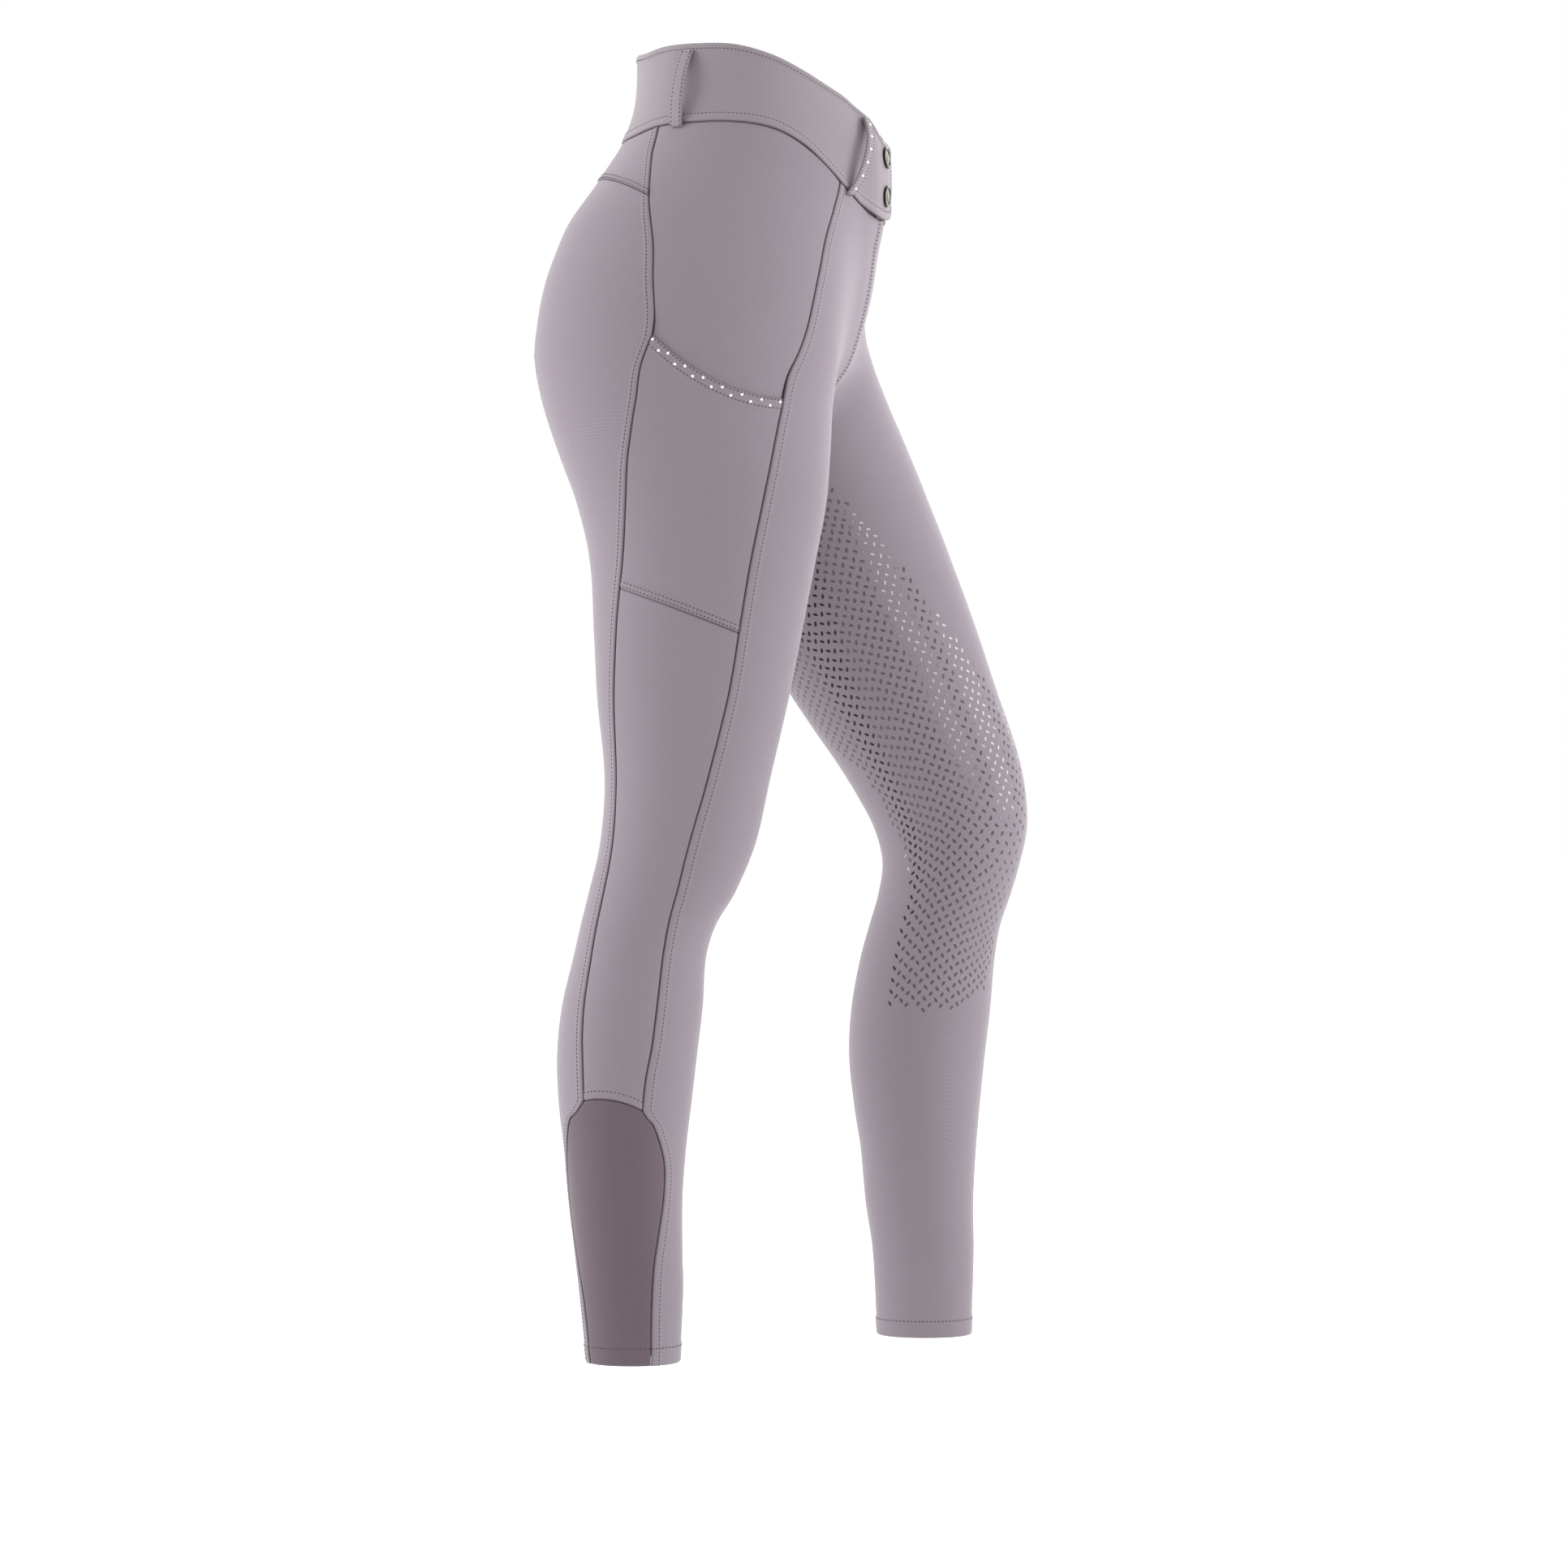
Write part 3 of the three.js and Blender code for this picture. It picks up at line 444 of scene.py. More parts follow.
nearSeam = np.array([0, 0.3, 0.6, 0.95, 1.4, 2, 2.9, 4, 4.9, 5.6, 6.2, 6.9, 7.6, 8.8, 10.5])
nearPlain = np.array([0.0])
fineness = {"rowSpacing": 3.6, "innerColumns": 28, "readings": 8}


# Row numbers from first to last, closer together beside the panel's two ends.
def rowsFor(grid, first, last, nearFirst=nearSeam, nearLast=nearSeam):
    length = lengthAlong(grid[:, grid.shape[1] // 2][None])[0]
    start, end = length[first] + nearFirst, length[last] - nearLast[::-1]
    count = int((end[0] - start[-1]) / fineness["rowSpacing"]) + 1
    inner = np.linspace(start[-1], end[0], count)[1:-1]
    return np.interp(np.concatenate([start, inner, end]), length, np.arange(len(length)))


# A panel of cloth between two edges: places, facings and distances to each edge, in millimetres.
def layCloth(grid, rows):
    lines = between(grid.transpose(1, 0, 2), np.tile(rows, (grid.shape[1], 1)), hardRows)
    lines = lines.transpose(1, 0, 2)
    columns = np.linspace(0, grid.shape[1] - 1, fineness["readings"] * grid.shape[1])
    length = lengthAlong(between(lines, np.tile(columns, (len(rows), 1))))
    total = length[:, -1:]
    room = total - 2 * nearSeam[-1]
    inner = nearSeam[-1] + room * np.linspace(0, 1, fineness["innerColumns"])[None, 1:-1]
    starts, ends = np.tile(nearSeam, (len(rows), 1)), total - nearSeam[::-1]
    wanted = np.concatenate([starts, inner, ends], 1)
    at = np.stack([np.interp(w, line, columns) for w, line in zip(wanted, length)])
    spots = settle(between(lines, at), 3)
    down = lengthAlong(spots.transpose(1, 0, 2)).T
    return {
        "spots": spots,
        "facing": outward(spots),
        "rows": np.tile(rows[:, None], (1, wanted.shape[1])),
        "start": wanted,
        "end": total - wanted,
        "top": down,
        "bottom": down[-1:] - down,
        "height": np.zeros(wanted.shape),
    }


seam = {
    "roll": 1.0,
    "rollWidth": 0.85,
    "ditchShadeWidth": 0.6,
    "bandHeight": 0.6,
    "pull": 0.35,
    "pullWidth": 0.55,
}


# Relief beside a seam: the edge rolls in, and a band of allowance under it ends at the stitches.
def seamRelief(distance, band=0, strength=1):
    height = -seam["roll"] * np.exp(-((distance / seam["rollWidth"]) ** 2))
    if band:
        height += seam["bandHeight"] * (1 - smoothstep(distance, band - 0.3, band + 1.4))
        height -= seam["pull"] * np.exp(-(((distance - band + 0.8) / seam["pullWidth"]) ** 2))
    return height * strength


# How much painted shade darkens a place, from 0 to 1, by how near it lies to the ditch of a seam.
def ditchShadeOf(part, *edges):
    return sum(np.exp(-((part[edge] / seam["ditchShadeWidth"]) ** 2)) for edge in edges).clip(0, 1)


# The places of a panel's outer face, in metres in the scene.
def placed(part):
    spots = part["spots"] + part["facing"] * part["height"][..., None]
    return np.stack([-spots[..., 1], -spots[..., 0], -spots[..., 2]], -1) / 1000


def facings(part):
    facing = part["facing"]
    return np.stack([-facing[..., 1], -facing[..., 0], -facing[..., 2]], -1)


# Places and facings along a panel at a distance from one edge: one number, or one for each row.
def lineAlong(part, edge, distance, rows=(0, 99)):
    place, facing, away = placed(part), facings(part), part[edge]
    numbers = part["rows"][:, 0]
    if edge in ("top", "bottom"):
        place, facing, away = place.transpose(1, 0, 2), facing.transpose(1, 0, 2), away.T
        numbers = np.full(len(away), 50.0)
    distance = np.broadcast_to(distance, len(away))
    points, normals = [], []
    for i in np.flatnonzero((numbers >= rows[0]) & (numbers <= rows[1])):
        order = np.argsort(away[i])
        if away[i, order[-1]] < distance[i]:
            continue
        for made, values in ((points, place), (normals, facing)):
            readings = (values[i, order, k] for k in range(3))
            made.append([np.interp(distance[i], away[i, order], column) for column in readings])
    return np.array(points), np.array(normals)


# Places, facings and the line's direction at lengths along a line, in metres.
def readAlong(line, at):
    points, normals = line
    length = lengthAlong(points[None])[0]

    def read(values, x):
        return np.stack([np.interp(x, length, values[:, k]) for k in range(3)], -1)

    return read(points, at), read(normals, at), read(points, at + 0.0004) - read(points, at - 0.0004)


def evenSteps(line, pitch):
    total = lengthAlong(line[0][None])[0, -1]
    count = max(int(total / pitch), 1)
    return readAlong(line, (np.arange(count) + 0.5) * total / count)


# Axes at each place: x along the line, z out of the cloth.
def axesAt(normal, ahead):
    z = normal / np.linalg.norm(normal, axis=1, keepdims=True)
    x = ahead - z * (ahead * z).sum(1, keepdims=True)
    x /= np.linalg.norm(x, axis=1, keepdims=True)
    return np.stack([x, np.cross(z, x), z], 1)


def newPiece(name, bm, material, slotName, replaced=(), smooth=True):
    mesh = bpy.data.meshes.new(name)
    bm.to_mesh(mesh)
    bm.free()
    mesh.polygons.foreach_set("use_smooth", [smooth] * len(mesh.polygons))
    mesh.materials.append(material)
    piece = bpy.data.objects.new(name, mesh)
    bpy.context.scene.collection.objects.link(piece)
    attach(piece, "root")
    if replaced:
        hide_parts(*replaced)
    return piece


# One piece of many copies of the shape in a bmesh, each copy set at its place.
def repeatShape(name, bm, spots, axes, material, slotName, smooth=True):
    outline = np.array([vert.co for vert in bm.verts])
    piece = newPiece(name, bm, material, slotName, smooth=smooth)
    copies = piece.modifiers.new("copies", "ARRAY")
    copies.count, copies.use_relative_offset = len(spots), False
    finished = piece.evaluated_get(bpy.context.evaluated_depsgraph_get())
    piece.data = bpy.data.meshes.new_from_object(finished)
    piece.modifiers.clear()
    places = spots[:, None] + np.einsum("vk,nkc->nvc", outline, axes)
    piece.data.vertices.foreach_set("co", places.astype(np.float32).ravel())
    piece.data.update()
    return piece


def clothPiece(name, parts, wall, material, slotName, replaced=()):
    bm = bmesh.new()
    cloth = bm.loops.layers.uv.new("cloth")
    # This float layer carries the painted shade of seam ditches to the material.
    ditch = bm.verts.layers.float.new("ditch")
    for part in parts:
        place = placed(part)
        rows, columns = place.shape[:2]
        made = bmesh.ops.create_grid(bm, x_segments=columns - 1, y_segments=rows - 1, size=1)
        where = {}
        for vert in made["verts"]:
            j, i = (round((vert.co[k] + 1) / 2 * (n - 1)) for k, n in ((0, columns), (1, rows)))
            where[vert] = i, j
            vert.co = place[i, j]
            vert[ditch] = part["ditch"][i, j]
        faces = list({face for vert in made["verts"] for face in vert.link_faces})
        across = part["start"] * part.get("side", 1) / 1000
        along = part["top"] / 1000
        for face in faces:
            for loop in face.loops:
                loop[cloth].uv = across[where[loop.vert]], along[where[loop.vert]]
        middle = faces[0]
        middle.normal_update()
        if middle.normal.dot(Vector(facings(part)[where[middle.verts[0]]])) < 0:
            bmesh.ops.reverse_faces(bm, faces=faces)
    bmesh.ops.remove_doubles(bm, verts=bm.verts, dist=0.00001)
    piece = newPiece(name, bm, material, slotName, replaced)
    shell = piece.modifiers.new("wall", "SOLIDIFY")
    shell.thickness, shell.offset = wall / 1000, -1
    shell.use_even_offset = False
    return piece


stitch = {"pitch": 0.003, "size": (0.0009, 0.0005, 0.0004)}


# One mesh of stitches, from lines of places and facings.
def sewStitches(name, lines, material, slotName):
    steps = [evenSteps(line, stitch["pitch"]) for line in lines]
    spots, normals, ahead = (np.concatenate(group) for group in zip(*steps))
    bm = bmesh.new()
    bmesh.ops.create_uvsphere(bm, u_segments=6, v_segments=4, radius=1)
    bmesh.ops.scale(bm, vec=stitch["size"], verts=bm.verts)
    return repeatShape(name, bm, spots, axesAt(normals, ahead), material, slotName)


def colour(code, alpha=1):
    parts = [int(code[i : i + 2], 16) / 255 for i in (1, 3, 5)]
    return (*(c / 12.92 if c < 0.04045 else ((c + 0.055) / 1.055) ** 2.4 for c in parts), alpha)


# Adds a node, with its properties, its sockets' values and the links into them.
def addNode(tree, kind, properties=None, values=None, links=None):
    node = tree.nodes.new(kind)
    for name, value in (properties or {}).items():
        setattr(node, name, value)
    for name, value in (values or {}).items():
        node.inputs[name].default_value = value
    for name, source in (links or {}).items():
        tree.links.new(source, node.inputs[name])
    return node


def newMaterial(name, **values):
    material = bpy.data.materials.new(name)
    material.use_nodes = True
    shader = material.node_tree.nodes["Principled BSDF"]
    for socket, value in values.items():
        shader.inputs[socket.replace("_", " ")].default_value = value
    return material, material.node_tree, shader


def mixOf(tree, kind, values, links):
    return addNode(tree, "ShaderNodeMix", {"data_type": kind}, values, links).outputs["Result"]


def noiseOf(tree, scale, detail):
    place = addNode(tree, "ShaderNodeTexCoord").outputs["Object"]
    values = {"Scale": scale, "Detail": detail}
    return addNode(tree, "ShaderNodeTexNoise", values=values, links={"Vector": place}).outputs["Fac"]


# Painted shade: darkens a colour where the mesh says that a place lies in the ditch of a seam or groove.
def withDitchShade(tree, code, source):
    depth = addNode(tree, "ShaderNodeAttribute", {"attribute_name": "ditch"}).outputs["Fac"]
    return mixOf(tree, "RGBA", {"B": colour(code)}, {"Factor": depth, "A": source})


# Each look's ditch colour is painted shade, laid into the grooves of seams.
knit = {
    "base": "#716970",
    "dark": "#625a61",
    "light": "#807880",
    "ditch": "#3a323a",
    "wale": 0.0011,  # the real wale is about 0.4 mm, drawn coarser so that it shows
    "relief": 0.00012,
}
ankleKnit = {
    "base": "#54484f",
    "dark": "#473b42",
    "light": "#61555c",
    "ditch": "#30272d",
    "wale": 0.0008,
    "relief": 0.0001,
}
bandKnit = {
    "base": "#756e73",
    "dark": "#696267",
    "light": "#817a7f",
    "ditch": "#453e43",
    "wale": 0.0009,
    "relief": 0.00008,
}


# Warp-knit stretch cloth: matte, with a faint bloom of fibre at its edges and a fine twill face.
def knitMaterial(name, look):
    material, tree, shader = newMaterial(
        name,
        Roughness=0.82,
        Sheen_Weight=0.35,
        Sheen_Roughness=0.45,
        Sheen_Tint=colour("#e8dfe6"),
        Specular_IOR_Level=0.25,
    )
    place = addNode(tree, "ShaderNodeTexCoord").outputs
    turn = {"Rotation": (0, 0, np.radians(63))}
    grain = addNode(tree, "ShaderNodeMapping", values=turn, links={"Vector": place["UV"]})

    def wave(direction, values):
        kind = {"wave_type": "BANDS", "bands_direction": direction, "wave_profile": "SIN"}
        links = {"Vector": grain.outputs["Vector"]}
        return addNode(tree, "ShaderNodeTexWave", kind, values, links).outputs["Fac"]

    rate = 0.314 / look["wale"]
    wales = wave("X", {"Scale": rate, "Distortion": 1.2, "Detail": 1, "Detail Scale": 1.5})
    courses = wave("Y", {"Scale": rate * 0.8, "Distortion": 2, "Detail": 1})
    fibre = noiseOf(tree, 900, 3)
    cloud = noiseOf(tree, 9, 2)
    weave = mixOf(tree, "FLOAT", {"Factor": 0.35}, {"A": wales, "B": courses})
    height = mixOf(tree, "FLOAT", {"Factor": 0.3}, {"A": weave, "B": fibre})
    ends = {"A": colour(look["dark"]), "B": colour(look["light"])}
    tone = mixOf(tree, "RGBA", ends, {"Factor": height})
    worn = mixOf(tree, "RGBA", {"B": colour(look["base"])}, {"Factor": cloud, "A": tone})
    # The ditches of seams are darkened with painted shade.
    tree.links.new(withDitchShade(tree, look["ditch"], worn), shader.inputs["Base Color"])
    raised = {"Strength": 0.5, "Distance": look["relief"]}
    bump = addNode(tree, "ShaderNodeBump", values=raised, links={"Height": height})
    tree.links.new(bump.outputs["Normal"], shader.inputs["Normal"])
    return material


knitCloth = knitMaterial("mattStretchKnit", knit)
ankleJersey = knitMaterial("thinAnkleJersey", ankleKnit)
waistKnit = knitMaterial("bondedWaistKnit", bandKnit)


# One colour with a grain of lighter and darker spots, and painted shade making it darker still in the
# ditches it is given.
def plainMaterial(name, code, roughness, grain, scale, ditch=None, **values):
    material, tree, shader = newMaterial(name, Roughness=roughness, **values)
    base = np.array(colour(code)[:3])
    ends = {"A": [*(base * (1 - grain)), 1], "B": [*np.minimum(base * (1 + grain), 1), 1]}
    shade = mixOf(tree, "RGBA", ends, {"Factor": noiseOf(tree, scale, 3)})
    if ditch:
        shade = withDitchShade(tree, ditch, shade)
    tree.links.new(shade, shader.inputs["Base Color"])
    return material


# Sewing thread, darker than the cloth, so that a seam is seen to be sewn.
thread = plainMaterial("polyesterThread", "#2f282e", 0.6, 0.25, 2500)
bandThread = plainMaterial("bandThread", "#383137", 0.6, 0.25, 2500)
# Printed silicone, nearly black and glossy: it glints where a lamp stands opposite.
silicone = plainMaterial("siliconePrint", "#1f1a1f", 0.16, 0.1, 300, Specular_IOR_Level=1.0)
# Brushed nickel plate, bright on its rim, with painted shade darkening its groove and the outer edge of
# its rim.
nickel = plainMaterial("platedNickel", "#6b655d", 0.4, 0.3, 500, "#1d1a17", Metallic=1.0)
# Cut glass stones, which sparkle white.
crystal = plainMaterial("cutGlassStone", "#f2f0f2", 0.06, 0.05, 500, IOR=2.0, Coat_Weight=1.0)

camera = bpy.data.cameras.new("camera")
camera.sensor_width = 36
camera.lens = view["focalPixels"] / view["imagePixels"] * camera.sensor_width
camera.clip_end = 50
cameraObject = bpy.data.objects.new("camera", camera)
cameraObject.location = view["place"]
cameraObject.rotation_euler = (np.radians(90), 0, np.radians(-90))
bpy.context.scene.collection.objects.link(cameraObject)
bpy.context.scene.camera = cameraObject
print("camera set")


bands = {
    "backSeam": 6,
    "frontSeam": 7,
    "yoke": 6,
    "mouth": 8.5,
    "pocketBottom": 6,
    "ankle": 7,
    "hem": 14,
    "stitchIn": 0.8,
}
fly = {"width": 13.5, "second": 10.5, "lastRow": 11.5, "height": 0.9}
stones = {"radius": 0.00115, "onPocket": 15, "near": 2.8, "far": 6.2, "onLoop": 6}
gripPrint = {
    "long": 0.0023,
    "wide": 0.0011,
    "high": 0.00026,
    "across": 9,
    "along": 9,
    "turns": [38, -31],
    "front": {
        "row": [12.4, 13.2, 14.4, 16.2, 18.4, 20.2, 21.9, 23.2, 25, 26.8, 28.6, 30.7, 31.7, 32.6],
        "reach": [0, 50, 80, 78, 73, 78, 88, 97, 84, 68, 58, 60, 57, 20],
    },
    "back": {
        "row": [7, 8, 9, 10.5, 12, 13.5, 15, 18, 21, 23, 24.5, 26.5, 27.7, 28.7, 30, 32.6],
        "reach": [0, 60, 104, 131, 148, 163, 150, 130, 112, 97, 62, 51, 39, 32, 29, 27],
    },
}


# The parts of one leg, as finished outer faces with their relief and the painted shade of their seam
# ditches.
def finishLeg(name, leg):
    grids = layOut(leg)
    yokeRow, mouthRow, crotchRow, bottomRow, ankleRow, hemRow = rowAt.values()
    parts = {}

    below = rowsFor(grids["front"], crotchRow, hemRow, nearPlain, nearSeam)[1:]
    above = rowsFor(grids["front"], 0, crotchRow, nearSeam, nearPlain)
    part = parts["front"] = layCloth(grids["front"], np.append(above, below))
    atCentre = 1 - smoothstep(part["rows"], crotchRow - 0.6, crotchRow)
    part["height"] = seamRelief(part["start"]) * atCentre + seamRelief(part["end"], bands["frontSeam"])
    part["height"] += seamRelief(part["top"]) + seamRelief(part["bottom"], bands["hem"])
    # Painted shade in the seam ditches, weaker along the centre seam above the crotch.
    part["ditch"] = np.maximum(ditchShadeOf(part, "end", "top"), 0.4 * ditchShadeOf(part, "start") * atCentre)
    if name == "right":
        fade = 1 - smoothstep(part["rows"], fly["lastRow"] - 2, fly["lastRow"])
        ledge = 1 - smoothstep(part["start"], fly["width"] - 1, fly["width"] + 2.5)
        part["height"] += fly["height"] * fade * ledge

    above = rowsFor(grids["back"], yokeRow, crotchRow, nearSeam, nearPlain)
    part = parts["back"] = layCloth(grids["back"], np.append(above, below))
    atCentre = 1 - smoothstep(part["rows"], crotchRow - 0.6, crotchRow)
    part["height"] = seamRelief(part["start"]) * atCentre + seamRelief(part["end"], bands["backSeam"])
    part["height"] += seamRelief(part["top"]) + seamRelief(part["bottom"], bands["hem"])
    part["ditch"] = np.maximum(ditchShadeOf(part, "end", "top"), 0.4 * ditchShadeOf(part, "start") * atCentre)
    part["side"] = -1

    part = parts["yoke"] = layCloth(grids["back"], rowsFor(grids["back"], 0, yokeRow))
    part["height"] = seamRelief(part["start"]) + seamRelief(part["end"], bands["backSeam"])
    part["height"] += seamRelief(part["top"]) + seamRelief(part["bottom"], bands["yoke"])
    part["ditch"] = ditchShadeOf(part, "start", "end", "top", "bottom")

    part = parts["hip"] = layCloth(grids["side"], rowsFor(grids["side"], 0, bottomRow))
    setIn = (shape["pocketWall"] + shape["seamGap"]) * smoothstep(part["rows"], mouthRow - 2, mouthRow)
    part["height"] = seamRelief(part["start"]) + seamRelief(part["end"]) + seamRelief(part["top"]) - setIn
    part["ditch"] = ditchShadeOf(part, "start", "end", "top")

    part = parts["pocket"] = layCloth(grids["side"], rowsFor(grids["side"], mouthRow, bottomRow))
    part["height"] = seamRelief(part["start"]) + seamRelief(part["end"])
    part["height"] += seamRelief(part["top"], bands["mouth"], 0.7)
    part["height"] += seamRelief(part["bottom"], bands["pocketBottom"])
    part["ditch"] = np.maximum(ditchShadeOf(part, "start", "end"), 0.6 * ditchShadeOf(part, "top", "bottom"))

    part = parts["side"] = layCloth(grids["side"], rowsFor(grids["side"], bottomRow, ankleRow))
    part["height"] = sum(seamRelief(part[edge]) for edge in ("start", "end", "top"))
    part["height"] += seamRelief(part["bottom"], bands["ankle"])
    part["ditch"] = np.maximum(ditchShadeOf(part, "start", "end", "bottom"), 0.5 * ditchShadeOf(part, "top"))

    part = parts["ankle"] = layCloth(grids["side"], rowsFor(grids["side"], ankleRow, hemRow))
    part["height"] = sum(seamRelief(part[edge]) for edge in ("start", "end", "top"))
    part["height"] += seamRelief(part["bottom"], bands["hem"])
    part["ditch"] = ditchShadeOf(part, "start", "end", "top")
    return parts


def dressLeg(name, parts):
    wall = shape["clothWall"]
    pieces = [
        ("leg_wrap", ["front", "back"], wall, knitCloth, "knit_cloth"),
        ("yoke", ["yoke"], wall, knitCloth, "knit_cloth"),
        ("hip_panel", ["hip"], wall, knitCloth, "knit_cloth"),
        ("pocket", ["pocket"], shape["pocketWall"], knitCloth, "knit_cloth"),
        ("side_panel", ["side"], wall, knitCloth, "knit_cloth"),
        ("ankle_panel", ["ankle"], wall, ankleJersey, "ankle_elastic"),
    ]
    for kind, used, thick, material, slotName in pieces:
        node, faces = name + "_" + kind, [parts[k] for k in used]
        piece = clothPiece(node + "_cloth", faces, thick, material, slotName, [node])

    inner = bands["stitchIn"]
    rows = [
        ("back", "end", bands["backSeam"] - inner),
        ("yoke", "end", bands["backSeam"] - inner),
        ("front", "end", bands["frontSeam"] - inner),
        ("yoke", "bottom", bands["yoke"] - inner),
        ("yoke", "bottom", 1.6),
        ("pocket", "top", bands["mouth"] - inner),
        ("pocket", "top", 1.5),
        ("pocket", "bottom", bands["pocketBottom"] - inner),
        ("pocket", "bottom", 1.9),
        ("side", "bottom", bands["ankle"] - inner),
        ("ankle", "bottom", bands["hem"] - inner),
        ("front", "bottom", bands["hem"] - inner),
        ("back", "bottom", bands["hem"] - inner),
    ]
    lines = [lineAlong(parts[part], edge, distance) for part, edge, distance in rows]
    if name == "right":
        numbers = parts["front"]["rows"][:, 0]
        fade = 1 - smoothstep(numbers, fly["lastRow"] - 1.5, fly["lastRow"] + 0.3)
        for width in (fly["width"], fly["second"]):
            away = width * fade + 1.2
            lines.append(lineAlong(parts["front"], "start", away, (0, fly["lastRow"])))
    sewStitches(name + "_stitching", lines, thread, "knit_cloth")

    rows = [lineAlong(parts["pocket"], "top", stones[k]) for k in ("near", "far")]
    share = 0.02 + 0.955 * np.arange(stones["onPocket"]) / (stones["onPocket"] - 1)
    read = [readAlong(row, share * lengthAlong(row[0][None])[0, -1]) for row in rows]
    zigzag = np.arange(stones["onPocket"]) % 2 == 1
    chosen = (np.where(zigzag[:, None], far, near) for near, far in zip(*read))
    setStones(name + "_pocket_stones", *chosen)
    printGrip(name, parts)


# Flat-backed glass stones at places on the cloth.
def setStones(name, spots, normals, ahead):
    r = stones["radius"]
    bm = bmesh.new()
    bmesh.ops.create_cone(bm, cap_ends=True, segments=8, radius1=r, radius2=0.5 * r, depth=0.8 * r)
    bmesh.ops.translate(bm, vec=(0, 0, 0.35 * r), verts=bm.verts)
    axes = axesAt(normals, ahead)
    repeatShape(name, bm, spots, axes, crystal, "knit_cloth", smooth=False)


# Lines down a panel at distances from the inseam, square to the leg: places, facings,
# lengths from the crotch and the room left to the print's edge.
def squareLines(part, reach, distances):
    steps = np.arange(0, 176, 2.0)

    def even(values):
        rows = zip(part["start"], values)
        return np.stack([[np.interp(steps, x, line[:, k]) for k in range(3)] for x, line in rows])

    place, facing = even(placed(part)), even(facings(part))
    down, over = np.gradient(place, axis=0), np.gradient(place, axis=2)
    size = np.linalg.norm(down, axis=1) * np.linalg.norm(over, axis=1) + 1e-12
    lean = (down * over).sum(1) / size
    row, top = part["rows"][:, 0], part["top"][:, 0]
    fromCrotch = top - np.interp(rowAt["crotch"], row, top)
    along = fromCrotch[:, None] + (np.cumsum(lean, 1) - lean) * steps[1]
    square = np.sqrt(np.clip(1 - lean**2, 0.01, 1))
    away = (np.cumsum(square, 1) - square) * steps[1]
    limit = np.interp(row, reach["row"], reach["reach"], left=0, right=0)
    for distance in distances:
        start = np.array([np.interp(distance, line, steps) for line in away])
        read = lambda values: np.array([np.interp(x, steps, v) for x, v in zip(start, values)])
        spots, normals = (np.stack([read(v[:, k]) for k in range(3)], 1) for v in (place, facing))
        seen, step = read(along), 1000 * np.linalg.norm(np.diff(spots, axis=0), axis=1)
        gone = np.append(0, np.cumsum(np.clip(np.diff(seen), 0.6 * step, 1.6 * step)))
        yield spots, normals, gone - np.interp(rowAt["crotch"], row, gone - seen), limit - start


# The silicone grip on the seat and inside a leg: flat-topped ovals in two leanings.
def printGrip(name, parts):
    made = []
    for kind, turn in enumerate(np.radians(gripPrint["turns"])):
        for side in ("front", "back"):
            count = np.arange(kind == 0 and side == "back", 22)
            distances = (count + kind / 2) * gripPrint["across"]
            found = squareLines(parts[side], gripPrint[side], distances)
            for spots, normals, along, room in found:
                at = (np.arange(-60, 90) + kind / 2) * gripPrint["along"]
                at = at[(at > along[0]) & (at < along[-1])]
                at = at[np.interp(at, along, room) > 0]
                read = lambda values, x: np.stack([np.interp(x, along, v) for v in values.T], -1)
                ahead = read(spots, at + 2) - read(spots, at - 2)
                x, y, z = axesAt(read(normals, at), ahead).transpose(1, 0, 2)
                sine, cosine = np.sin(turn), np.cos(turn)
                turned = np.stack([x * cosine + y * sine, y * cosine - x * sine, z], 1)
                made.append((read(spots, at), turned))
    bm = bmesh.new()
    bmesh.ops.create_cone(bm, cap_ends=True, segments=10, radius1=1, radius2=0.86, depth=1)
    bmesh.ops.scale(bm, vec=[gripPrint[k] for k in ("long", "wide", "high")], verts=bm.verts)
    spots, axes = (np.concatenate(group) for group in zip(*made))
    repeatShape(name + "_grip_print", bm, spots, axes, silicone, "knit_cloth", smooth=False)
    print(name, "grip print of", len(spots), "ovals")


# Angles in degrees round the waist; the band is raised in full on the lap and not at all past it.
tab = {"tip": 3.5, "lapAngle": 15, "radius": 6, "full": 20, "none": 36, "perDegree": 1.6}
bandStitch = {"top": 5, "bottom": 7, "tip": 6}


def raisedAt(angle):
    lift = shape["bandWall"] + shape["seamGap"]
    return lift * (1 - smoothstep(angle, tab["full"], tab["none"]))


